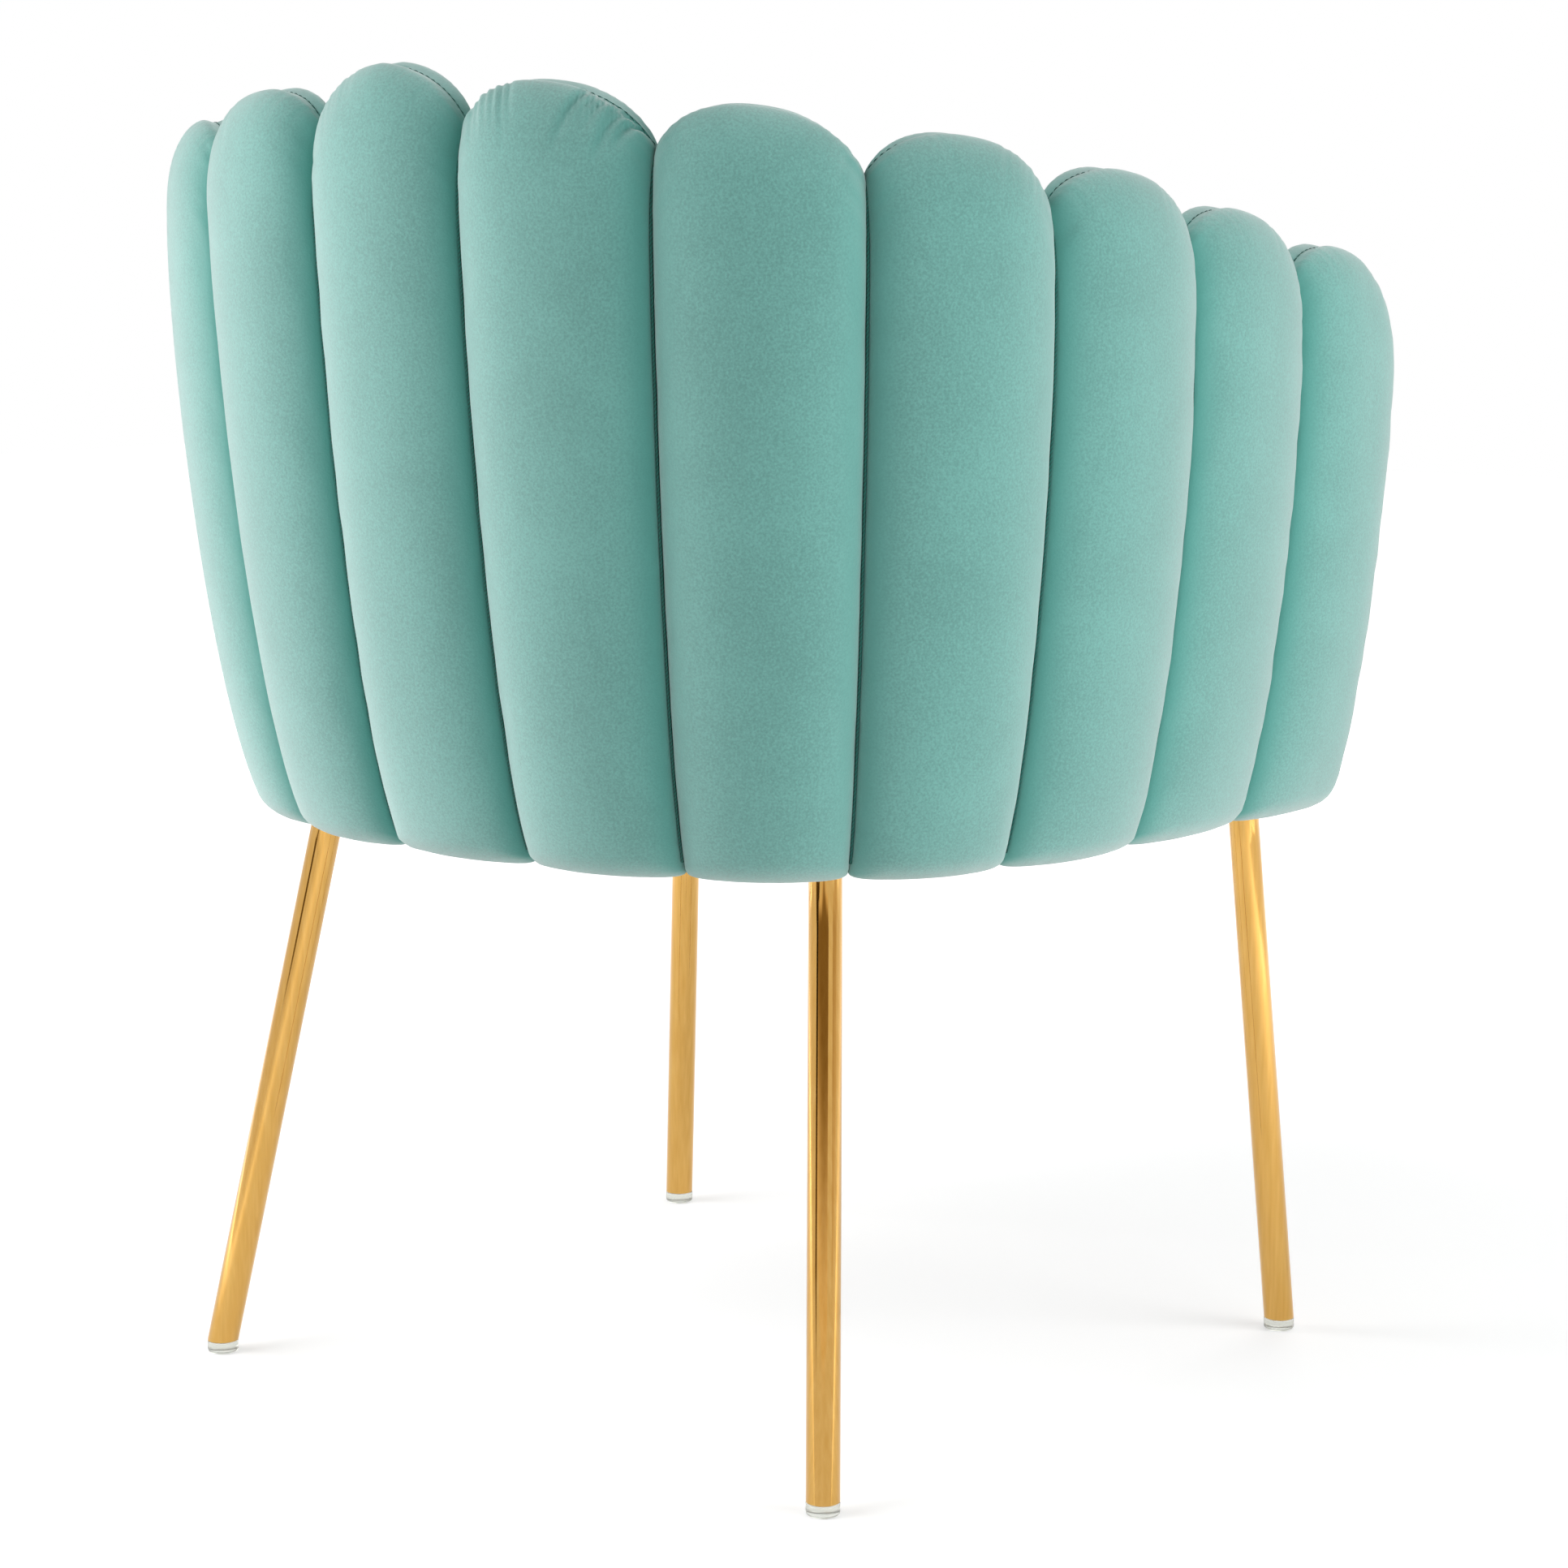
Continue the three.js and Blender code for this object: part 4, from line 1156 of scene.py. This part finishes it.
@dataclass
class SeatCushion:
    """Boxed seat cushion with a piped edge at its top and bottom."""

    form: WallForm
    base: float = 402.0
    thickness: float = 72.0
    low_edge: float = 4.0
    crown: float = 9.0
    crown_power: float = 3.2
    under_parts: tuple[float, ...] = (0.3, 0.75, 0.97)
    top_parts: tuple[float, float] = (0.985, 0.02)
    clear_offset: float = -49.0
    side_draw: float = 7.0
    side_power: float = 2.4
    overhang: float = 54.0
    bow_power: float = 3.2
    piping: float = 3.0
    piping_out: float = 0.8
    piping_rise: float = 0.5
    piping_sides: int = 10
    wall_steps: int = 72
    bow_steps: int = 48
    points_around: int = 190
    side_rows: int = 15
    top_rows: int = 26
    press: ClothPress = field(
        default_factory=lambda: ClothPress(frames=14, cap_mm=6.0, stiffness=14.0)
    )

    def ring(self, inset: float, height: float) -> np.ndarray:
        """Trace the cushion along the wall from arm to arm and round its bowed front.

        Args:
            inset: How far the outline is drawn in.
            height: Height of the outline.

        Returns:
            Evenly spaced points of the closed outline, in millimetres.
        """
        form = self.form
        end = 1 - inset / form.arm_length * (1 - form.bend_share)
        foot = form.foot(np.linspace(-end, end, self.wall_steps + 1))
        level = np.full((self.wall_steps + 1, 1), height)
        sides = form.point(foot, self.clear_offset - inset, level)[:, 0, :2]
        turn = np.linspace(0, math.pi, self.bow_steps + 1)[1:-1]
        across = np.cos(turn)
        bow_x = sides[-1, 0] * np.sign(across) * np.abs(across) ** (2 / self.bow_power)
        bow_y = form.arm_front + inset - self.overhang * np.sin(turn) ** (2 / self.bow_power)
        loop = np.vstack([sides, np.column_stack([bow_x, bow_y]), sides[:1]])
        where = np.linspace(0, path_length(loop)[-1], self.points_around, endpoint=False)
        return np.column_stack([along_path(loop, where), np.full(self.points_around, height)])

    def build(self) -> None:
        """Build the cushion's cover and its two cords of piping."""
        top_edge, low_edge = self.base + self.thickness, self.base + self.low_edge
        under = self.ring(self.side_draw, self.base)
        rings = [self.shrunk(under, part) for part in self.under_parts]
        for part in np.linspace(0, 1, self.side_rows):
            inset = self.side_draw * (1 - float(round_form(2 * part - 1, self.side_power)))
            rings.append(self.ring(inset, low_edge + (top_edge - low_edge) * part))
        edge = self.ring(self.side_draw, top_edge)
        for part in np.linspace(*self.top_parts, self.top_rows):
            ring = self.shrunk(edge, part)
            ring[:, 2] = top_edge + self.crown * (1 - part**self.crown_power)
            rings.append(ring)
        points, faces = closed_tube(np.array(rings))
        # The underside and both pipings hold the cover
        sides = len(self.under_parts)
        held = np.zeros((len(rings), self.points_around), bool)
        held[: sides + 1] = True
        held[sides + self.side_rows - 1] = True
        outward = [face[::-1] for face in faces]
        points = points + self.press.settle(points, outward, held.ravel())
        cover = make_piece("seat_cushion", (points, faces), VELVET)
        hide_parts("seat_cushion")
        for name, height in (("top", top_edge + self.piping_rise), ("bottom", low_edge)):
            cord = self.piping_cord(name, self.ring(self.side_draw - self.piping_out, height))

    def shrunk(self, ring: np.ndarray, part: float) -> np.ndarray:
        """Return a ring drawn towards its middle to a part of its size."""
        middle = np.array([0.0, ring[:, 1].min() * 0.5 + ring[:, 1].max() * 0.5, ring[0, 2]])
        return middle + (ring - middle) * part

    def piping_cord(self, name: str, loop: np.ndarray) -> bpy.types.Object:
        """Lay a velvet covered cord along a closed loop and return it."""
        ahead = unit(np.roll(loop, -1, axis=0) - np.roll(loop, 1, axis=0))
        across = unit(np.cross(ahead, UP))
        upward = np.cross(across, ahead)
        skin = looped_tube(hoops(loop, across, upward, self.piping, self.piping_sides))
        return make_piece(f"seat_piping_{name}", skin, VELVET)


@dataclass
class FrontApron:
    """Padded velvet front over the front rail."""

    form: WallForm
    rail_half_length: float = 232.2
    rail_curve_half_width: float = 235.9
    rail_reach: float = 35.0
    bow_power: float = 3.2
    edge_power: float = 5.5
    end_power: float = 9.0
    thickness: float = 14.0
    bottom: float = 338.0
    top: float = 401.2
    lean_base: float = 350.0
    lip: float = 10.0
    deck: float = 392.3
    rail_gap: float = 0.4
    belly: float = 3.0
    end_share: float = 0.45
    end_cover: float = 1.8
    end_levels: tuple[float, float, float] = (399.2, 350.0, 342.0)
    rail_depth: float = 21.0
    columns: int = 90
    rows: int = 41

    def build(self) -> None:
        """Build the apron with rounded edges, ends and a slight belly."""
        half, flare = self.rail_half_length, self.form.flare
        place = closer_at_ends(self.columns + 1)
        bow = round_form(place * half / self.rail_curve_half_width, self.bow_power)
        rail = self.form.arm_front - self.rail_reach * bow
        arm = self.form.foot(1.0)
        angle = np.linspace(-RIGHT_ANGLE, RIGHT_ANGLE, self.rows)
        rise = np.sign(np.sin(angle)) * np.abs(np.sin(angle)) ** (2 / self.edge_power)
        depth = np.cos(angle) ** (2 / self.edge_power)
        depth[[0, -1]] = 0
        height = (self.bottom + self.top) / 2 + (self.top - self.bottom) / 2 * rise
        zs = np.concatenate([height, [self.top, self.deck, self.deck]])
        lean = flare(arm, zs[None, :])[0] - flare(arm, np.array([[self.lean_base]]))[0]
        belly = self.belly * (1 - rise**2)
        rings = []
        for at, face, end in zip(place * half, rail, round_form(place, self.end_power)):
            reach = (self.thickness - self.rail_gap) * depth * (self.end_share + (1 - self.end_share) * end)
            skin_y = face - self.rail_gap - reach - belly * end * depth
            ys = np.concatenate([skin_y, [face + self.lip, face + self.lip, face - self.rail_gap]])
            rings.append(np.column_stack([at * (1 + np.maximum(lean, 0) / half), ys, zs]))
        rings = [self.turned_in(rings[0], -1), *rings, self.turned_in(rings[-1], 1)]
        skin = closed_tube(np.array(rings))
        apron = make_piece("front_apron", skin, VELVET, sharp_deg=60)
        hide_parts("front_apron")

    def turned_in(self, ring: np.ndarray, side: int) -> np.ndarray:
        """Return the end ring, where the cover turns in over the end of the rail."""
        end = ring.copy()
        end[:, 0] += side * self.end_cover
        end[-3:, 1] = ring[-3, 1] - self.lip + self.rail_depth
        end[-3:, 2] = self.end_levels
        return end


# The legs


@dataclass(frozen=True)
class PanHeadScrew:
    """A pan head screw with a cross recess, driven up into the block."""

    head: float = 6.0
    head_top: float = 345.1
    head_height: float = 3.5
    dome: float = 0.9
    dome_radii: tuple[float, ...] = (0.02, 0.9, 1.6, 2.4, 3.0, 3.4, 4.2, 5.0, 5.6, 5.95)
    recess_half: float = 0.75
    recess_reach: float = 3.2
    recess_depth: float = 1.6
    recess_end: float = 4.2
    shank: float = 3.0
    root: float = 2.45
    shank_top: float = 378.0
    tip: float = 0.4
    tip_height: float = 4.0
    thread_rows: int = 26
    facets: int = 32

    def build(self, name: str, place: np.ndarray) -> None:
        """Build the screw at a place, where it replaces its CAD node."""
        angle, top, shank = turns(self.facets), self.head_top, self.shank
        circle = np.column_stack([np.cos(angle), np.sin(angle)])
        rows = []
        for radius in self.dome_radii:
            dome = top - self.head_height + self.dome * (radius / self.head) ** 3
            recess = self.recess_depth * (1 - radius / self.recess_end)
            cross = np.abs(circle * radius).min(axis=1) < self.recess_half
            rows.append((radius, dome + recess * (cross & (radius < self.recess_reach))))
        rows += [(self.head, top - 0.6), (self.head - 0.1, top), (shank, top)]
        length = self.shank_top - top - self.tip_height
        for step in range(self.thread_rows):
            rise = 1 + step * length / self.thread_rows
            rows.append((self.root if step % 2 else shank, top + rise))
        rows.append((self.tip, self.shank_top))
        rings = [np.column_stack([place + circle * r, z * np.ones(self.facets)]) for r, z in rows]
        skin = closed_tube(np.array(rings))
        screw = make_piece(name, skin, ZINC, sharp_deg=35)
        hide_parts(name)


@dataclass
class Leg:
    """A gold tube welded to its mounting plate, with a clear glide and two screws."""

    name: str
    side: int
    end: int
    foot: tuple[float, float]
    top: tuple[float, float]
    tube: float = 19.0
    tube_wall: float = 1.5
    tube_base: float = 7.3
    tube_edge: float = 0.35
    plate_base: float = 345.4
    plate: float = 58.0
    plate_thickness: float = 3.0
    plate_inset: float = 17.0
    plate_corner: float = 8.0
    corner_steps: int = 6
    weld: tuple[tuple[float, float], ...] = ((0.4, -3.2), (1.4, -1.4), (3.0, -0.2), (3.2, 0.6))
    weld_ripple: float = 0.35
    weld_ripples: int = 18
    tube_rows: int = 12
    screw_spread: float = 17.0
    screw_hole: float = 3.3
    hole_facets: int = 24
    screw: PanHeadScrew = field(default_factory=PanHeadScrew)
    glide_height: float = 7.0
    glide_edge: float = 2.0
    stem_gap: float = 0.4
    stem: tuple[tuple[float, float], ...] = ((0, 0), (9, 0), (17.4, 0), (18, 0.6))
    facets: int = 72

    @property
    def slope(self) -> np.ndarray:
        """How far the centre line moves across for each millimetre of height."""
        return (np.array(self.top) - np.array(self.foot)) / self.plate_base

    @property
    def plate_centre(self) -> np.ndarray:
        """Middle of the mounting plate."""
        return np.array(self.top) - np.array([self.side, self.end]) * self.plate_inset

    @property
    def screw_places(self) -> list[np.ndarray]:
        """Centres of the plate's two screws."""
        spread = np.array([-self.side, self.end]) * self.screw_spread
        return [self.plate_centre + spread, self.plate_centre - spread]

    def level_ring(self, radius: float, height: float) -> np.ndarray:
        """Return a level cut through a round bar along the leg's centre line."""
        axis = unit(np.array([*self.slope, 1.0]))
        across = unit(np.cross(axis, UP))
        rim = hoops(np.zeros((1, 3)), across, np.cross(across, axis), radius, self.facets)[0]
        centre = np.array([*(np.array(self.foot) + self.slope * height), height])
        return centre + rim - rim[:, 2:3] / axis[2] * axis

    def build(self) -> None:
        """Build the tube with its plate and weld, the glide and the screws."""
        outer, inner, edge = self.tube / 2, self.tube / 2 - self.tube_wall, self.tube_edge
        low, high = self.tube_base, self.plate_base
        # Rings up the outside, over the weld bead to the plate, and back down the bore
        rows = [(outer - edge, low), (outer, low + edge)]
        rows += [(outer, z) for z in np.linspace(low + 6, high - 5, self.tube_rows)]
        bead = len(rows)
        rows += [(outer + out, high + rise) for out, rise in self.weld]
        rows += [(inner, high + self.weld[-1][1]), (inner, high - 20)]
        rows += [(inner, low + 25), (inner, low + edge), (inner + edge, low)]
        rings = np.array([self.level_ring(radius, height) for radius, height in rows])
        self.ripple_weld(rings[bead : bead + 3])
        skin = joined([looped_tube(rings), self.plate_skin()])
        leg = make_piece(f"{self.name}_leg", skin, GOLD, sharp_deg=32)
        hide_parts(f"{self.name}_leg")
        self.build_glide()
        for i, place in enumerate(self.screw_places):
            self.screw.build(f"{self.name}_leg_screw_{i + 1}", place)

    def ripple_weld(self, rings: np.ndarray) -> None:
        """Give the weld bead the ripple that a welder's arc leaves."""
        ripple = self.weld_ripple * np.sin(self.weld_ripples * turns(self.facets))
        for ring in rings:
            ring += unit(ring - ring.mean(axis=0)) * ripple[:, None]

    def plate_skin(self) -> Skin:
        """Cut the mounting plate with rounded corners and its two screw holes."""
        work = bmesh.new()
        corner = self.plate_corner
        outline = []
        for turn, signs in enumerate(((1, 1), (-1, 1), (-1, -1), (1, -1))):
            centre = self.plate_centre + (self.plate / 2 - corner) * np.array(signs)
            for angle in RIGHT_ANGLE * (turn + np.linspace(0, 1, self.corner_steps + 1)):
                outline.append(centre + corner * np.array([math.cos(angle), math.sin(angle)]))
        angle = turns(self.hole_facets)
        hole = self.screw_hole * np.column_stack([np.cos(angle), np.sin(angle)])
        for loop in (outline, *(place + hole for place in self.screw_places)):
            corners = [work.verts.new((spot[0], spot[1], self.plate_base)) for spot in loop]
            for i, corner_vert in enumerate(corners):
                work.edges.new((corner_vert, corners[(i + 1) % len(corners)]))
        bmesh.ops.triangle_fill(work, use_beauty=True, use_dissolve=False, edges=work.edges[:])
        grown = bmesh.ops.extrude_face_region(work, geom=work.faces[:])
        risen = [item for item in grown["geom"] if isinstance(item, bmesh.types.BMVert)]
        bmesh.ops.translate(work, verts=risen, vec=Vector((0, 0, self.plate_thickness)))
        work.verts.index_update()
        points = np.array([vert.co[:] for vert in work.verts])
        # Blender adds the faces round the rims in an order that varies from run to run
        faces = sorted(tuple(vert.index for vert in face.verts) for face in work.faces)
        work.free()
        return points, faces

    def build_glide(self) -> None:
        """Build the clear glide: a disc with rounded edges and a stem inside the tube."""
        radius, height, edge = self.tube / 2, self.glide_height, self.glide_edge
        rows = [(0.01, 0.0), (radius - edge, 0.0)]
        for turn in np.linspace(0.3, RIGHT_ANGLE, 6):
            rows.append((radius - edge * (1 - math.sin(turn)), edge * (1 - math.cos(turn))))
        rows += [(radius, height - 0.4), (radius - 0.4, height)]
        x, y = np.array(self.foot) + self.slope * height
        centres = np.array([(x, y, z) for _, z in rows])
        disc = hoops(centres, np.eye(3)[0], np.eye(3)[1], np.array(rows)[:, 0], self.facets)
        stem = radius - self.tube_wall - self.stem_gap
        turned = self.level_ring(stem, height)
        start = int(np.argmin(np.linalg.norm(turned - disc[-1, 0], axis=1)))
        rings = list(disc)
        for rise, taper in self.stem:
            bar = self.level_ring(stem - taper, height + rise)
            rings.append(self.matched(bar, start, disc[0]))
        skin = closed_tube(np.array(rings))
        glide = make_piece(f"{self.name}_glide", skin, CLEAR, sharp_deg=40)
        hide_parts(f"{self.name}_glide")

    def matched(self, ring: np.ndarray, start: int, like: np.ndarray) -> np.ndarray:
        """Turn a ring's numbering so that it runs the same way as another ring."""
        rolled = np.roll(ring, -start, axis=0)
        if (like[1] - like[0])[:2] @ (rolled[1] - rolled[0])[:2] < 0:
            rolled = np.roll(rolled[::-1], 1, axis=0)
        return rolled


@dataclass
class LegSet:
    """The four splayed legs, their feet and tops set in from the side and from the back or front."""

    form: WallForm
    back_insets: tuple[tuple[float, float], ...] = ((35.0, 23.0), (81.0, 83.0))
    front_insets: tuple[tuple[float, float], ...] = ((23.0, 3.0), (48.0, -14.0))

    def build(self) -> None:
        """Build each leg in its own corner."""
        form = self.form
        back = form.bend_centre + form.hem_back_reach
        rows = (("back", 1, back, self.back_insets), ("front", -1, form.arm_front, self.front_insets))
        for word, side in (("right", -1), ("left", 1)):
            for row, end, edge, insets in rows:
                foot, top = ((side * (form.hem_half_width - x), edge - y) for x, y in insets)
                Leg(f"{row}_{word}", side, end, foot, top).build()


# Underside


@dataclass
class Underside:
    """Staples that hold the black lining under the frame."""

    form: WallForm
    spacing: float = 38.0
    first: float = 12.0
    crown: float = 10.0
    wire: float = 0.8
    lining_base: float = 348.7
    inset: float = 9.0
    corner: float = 0.35
    turn_up: float = 0.7
    reach: float = 0.92
    steps: int = 400
    sides: int = 6

    def build(self) -> None:
        """Set a staple at each step along the lining's edge."""
        foot = self.form.foot(np.linspace(-self.reach, self.reach, self.steps))
        path = np.column_stack([foot.x - foot.out_x * self.inset, foot.y - foot.out_y * self.inset])
        spots = np.arange(self.first, path_length(path)[-1] - self.first, self.spacing)
        half = self.crown / 2
        staples = [self.staple(*along_path(path, (at - half, at + half))) for at in spots]
        make_piece("lining_staples", joined(staples), STAPLE_WIRE, sharp_deg=40)

    def staple(self, start: np.ndarray, end: np.ndarray) -> Skin:
        """Bend one staple's crown wire, its ends turned up into the lining."""
        ahead = unit(end - start)
        low = self.lining_base - self.wire / 2
        high, bend = low + self.turn_up, self.crown - self.corner
        route = [(0.0, high), (self.corner, low), (bend, low), (self.crown, high)]
        centres = np.array([(*(start + ahead * along), height) for along, height in route])
        across = np.array([-ahead[1], ahead[0], 0.0])
        return closed_tube(hoops(centres, across, UP, self.wire / 2, self.sides))


def dress_frame() -> None:
    """Give each CAD node that stays as it is the finish of its real material."""
    finishes = {"bent_ply_shell": BIRCH_PLY, "spring_insulator": FELT, "dust_cover": LINING}
    for rail in ("back", "right_side", "left_side", "front"):
        finishes[f"{rail}_rail"] = BEECH
    for corner in ("back_right", "back_left", "front_right", "front_left"):
        finishes[f"{corner}_corner_block"] = BEECH
    for number in range(1, 5):
        finishes[f"seat_spring_{number}"] = SPRING_STEEL
    for name, finish in finishes.items():
        for material_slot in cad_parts[name].material_slots:
            material_slot.material = finish.material()
        LOG.info("dressed %s in %s", name, finish.name)


# The studio


@dataclass(frozen=True)
class Lamp:
    """A soft lamp aimed at the chair."""

    name: str
    place: tuple[float, float, float]
    power: float
    size: tuple[float, float] = (1.3, 1.3)
    target: tuple[float, float, float] = (0.0, 0.0, 0.45)

    def build(self) -> None:
        """Hang the lamp and aim it."""
        light = bpy.data.lights.new(self.name, "AREA")
        light.shape = "RECTANGLE"
        light.size, light.size_y = self.size
        light.energy = self.power
        lamp = bpy.data.objects.new(self.name, light)
        lamp.visible_glossy = False
        lamp.location = self.place
        aim = Vector(self.target) - Vector(self.place)
        lamp.rotation_euler = aim.to_track_quat("-Z", "Y").to_euler()
        bpy.context.scene.collection.objects.link(lamp)


def studio_sheet(
    name: str, points: Sequence[tuple], faces: Faces, material: bpy.types.Material
) -> bpy.types.Object:
    """Make a thin piece of the studio from points in metres."""
    mesh = bpy.data.meshes.new(name)
    mesh.from_pydata(points, [], faces)
    mesh.materials.append(material)
    sheet = bpy.data.objects.new(name, mesh)
    bpy.context.scene.collection.objects.link(sheet)
    return sheet


@dataclass(frozen=True)
class ReflectionCard:
    """An upright sheet that only the polished tubes mirror, as a photographer's flag does."""

    name: str
    from_deg: float
    to_deg: float
    low: float
    high: float
    low_level: float
    top_level: float
    reach: float = 4.0
    shade: str = "#ffd98f"
    light: str = "#fff3e2"
    fade_share: float = 0.2
    steps: int = 12

    def build(self) -> None:
        """Bend the sheet round the set; it neither lights the chair nor shows to the camera."""
        points = []
        for part in np.linspace(0, 1, self.steps + 1):
            turn = math.radians(self.from_deg + (self.to_deg - self.from_deg) * part)
            x, y = self.reach * math.sin(turn), -self.reach * math.cos(turn)
            points += [(x, y, self.low), (x, y, self.high)]
        faces = [(2 * i, 2 * i + 2, 2 * i + 3, 2 * i + 1) for i in range(self.steps)]
        sheet = studio_sheet(self.name, points, faces, self.material())
        for ray in ("camera", "diffuse", "transmission", "shadow", "volume_scatter"):
            setattr(sheet, f"visible_{ray}", False)

    def material(self) -> bpy.types.Material:
        """Return a warm grey glow that grows lighter towards the sheet's lower edge."""
        material = bpy.data.materials.new(self.name)
        material.use_nodes = True
        tree = material.node_tree
        tree.nodes.clear()
        place = add_node(tree, "TexCoord").outputs["Object"]
        height = add_node(tree, "SeparateXYZ", {0: place}).outputs["Z"]
        ends = (self.low, self.low + self.fade_share * (self.high - self.low))
        level = spread(tree, height, self.low_level, self.top_level, ends)
        tone = two_tones(tree, level, (0.2, self.shade), (0.85, self.light))
        glow = add_node(tree, "Emission", {"Color": tone, "Strength": level})
        add_node(tree, "OutputMaterial", {"Surface": glow.outputs[0]})
        return material


@dataclass
class Studio:
    """White room, soft lamps, cards for the metal, and the camera."""

    camera_place: tuple[float, float, float] = (-1.410, 1.697, 0.679)
    camera_aim: tuple[float, float, float] = (0.6193, -0.7716, -0.1461)
    lens_mm: float = 84.28
    sensor_mm: float = 36.0
    sight: float = 60.0
    fill: float = 0.17
    floor_half: float = 8.0
    floor_colour: str = "#efefef"
    floor_glow: tuple[float, float] = (0.5, 1.0)
    floor_reach: tuple[float, float] = (0.6, 2.4)
    lamps: tuple[Lamp, ...] = (
        Lamp("key softbox", (2.24, 1.30, 0.73), 34.0),
        Lamp("high key softbox", (1.02, 1.77, 2.10), 27.0),
        Lamp("side softbox", (-2.43, -0.89, 0.73), 21.0),
        Lamp("low side softbox", (-2.55, 0.45, 0.73), 12.0),
        Lamp("high side softbox", (-1.93, -0.70, 2.10), 8.0),
        Lamp("front softbox", (0.6, -2.5, 1.5), 16.0, (1.8, 1.6)),
    )
    cards: tuple[ReflectionCard, ...] = (
        ReflectionCard("flag_behind_camera", 166, 240, 0.55, 3.2, 1.1, 0.3),
        ReflectionCard("flag_edge", 162, 174, 0.3, 3.2, 0.2, 0.03, reach=3.9),
        ReflectionCard("flag_by_side_lamp", 268, 296, 0.3, 3.0, 0.9, 0.7),
    )

    def build(self) -> None:
        """Set up the floor, the world, the lamps, the cards and the camera."""
        for lamp in self.lamps:
            lamp.build()
        self.build_floor()
        for card in self.cards:
            card.build()
        self.light_world()
        self.set_camera()
        bpy.context.scene.view_settings.view_transform = "Standard"

    def build_floor(self) -> None:
        """Lay a pale floor that shows white to the camera and keeps the chair's shadow."""
        material = bpy.data.materials.new("matt white studio floor")
        material.use_nodes = True
        tree = material.node_tree
        shader = tree.nodes["Principled BSDF"]
        matt = {"Base Color": linear(self.floor_colour), "Roughness": 0.95}
        set_inputs(tree, shader, matt | {"Specular IOR Level": 0.0})
        seen = seen_rays(tree, "Is Camera Ray", "Is Glossy Ray")
        place = add_node(tree, "TexCoord").outputs["Object"]
        away = add_node(tree, "VectorMath", {0: place}, operation="LENGTH").outputs["Value"]
        # The lamps reach only the middle of the floor, so its outer part glows more
        level = maths(
            tree, "MULTIPLY", seen, spread(tree, away, *self.floor_glow, self.floor_reach)
        )
        glow = add_node(tree, "Emission", {"Color": linear("#ffffff"), "Strength": level})
        both = add_node(tree, "AddShader", {0: shader.outputs[0], 1: glow.outputs[0]})
        tree.links.new(both.outputs[0], tree.nodes["Material Output"].inputs["Surface"])
        half = self.floor_half
        corners = [(-half, -half, 0), (half, -half, 0), (half, half, 0), (-half, half, 0)]
        floor = studio_sheet("studio_floor", corners, [(0, 1, 2, 3)], material)

    def light_world(self) -> None:
        """Show white round the set and give a low, even fill light."""
        world = bpy.data.worlds.new("white studio")
        bpy.context.scene.world = world
        world.use_nodes = True
        tree = world.node_tree
        tree.nodes.clear()
        shown = seen_rays(tree, "Is Camera Ray", "Is Glossy Ray", "Is Transmission Ray")
        fill, white = (
            add_node(tree, "Background", {"Color": linear("#ffffff"), "Strength": strength})
            for strength in (self.fill, 1.0)
        )
        mix = add_node(tree, "MixShader", {0: shown, 1: fill.outputs[0], 2: white.outputs[0]})
        add_node(tree, "OutputWorld", {"Surface": mix.outputs[0]})

    def set_camera(self) -> None:
        """Place the camera where the photograph was taken."""
        lens = bpy.data.cameras.new("camera")
        lens.sensor_width = self.sensor_mm
        lens.lens = self.lens_mm
        lens.clip_end = self.sight
        camera = bpy.data.objects.new("camera", lens)
        camera.location = self.camera_place
        camera.rotation_euler = Vector(self.camera_aim).to_track_quat("-Z", "Y").to_euler()
        bpy.context.scene.collection.objects.link(camera)
        bpy.context.scene.camera = camera


def main() -> None:
    """Build the chair's looks and the studio round it."""
    logging.basicConfig(level=logging.INFO, format="%(message)s")
    form = WallForm()
    Studio().build()
    Wall(form).build()
    SeatCushion(form).build()
    FrontApron(form).build()
    LegSet(form).build()
    Underside(form).build()
    dress_frame()


if __name__ == "__main__":
    main()
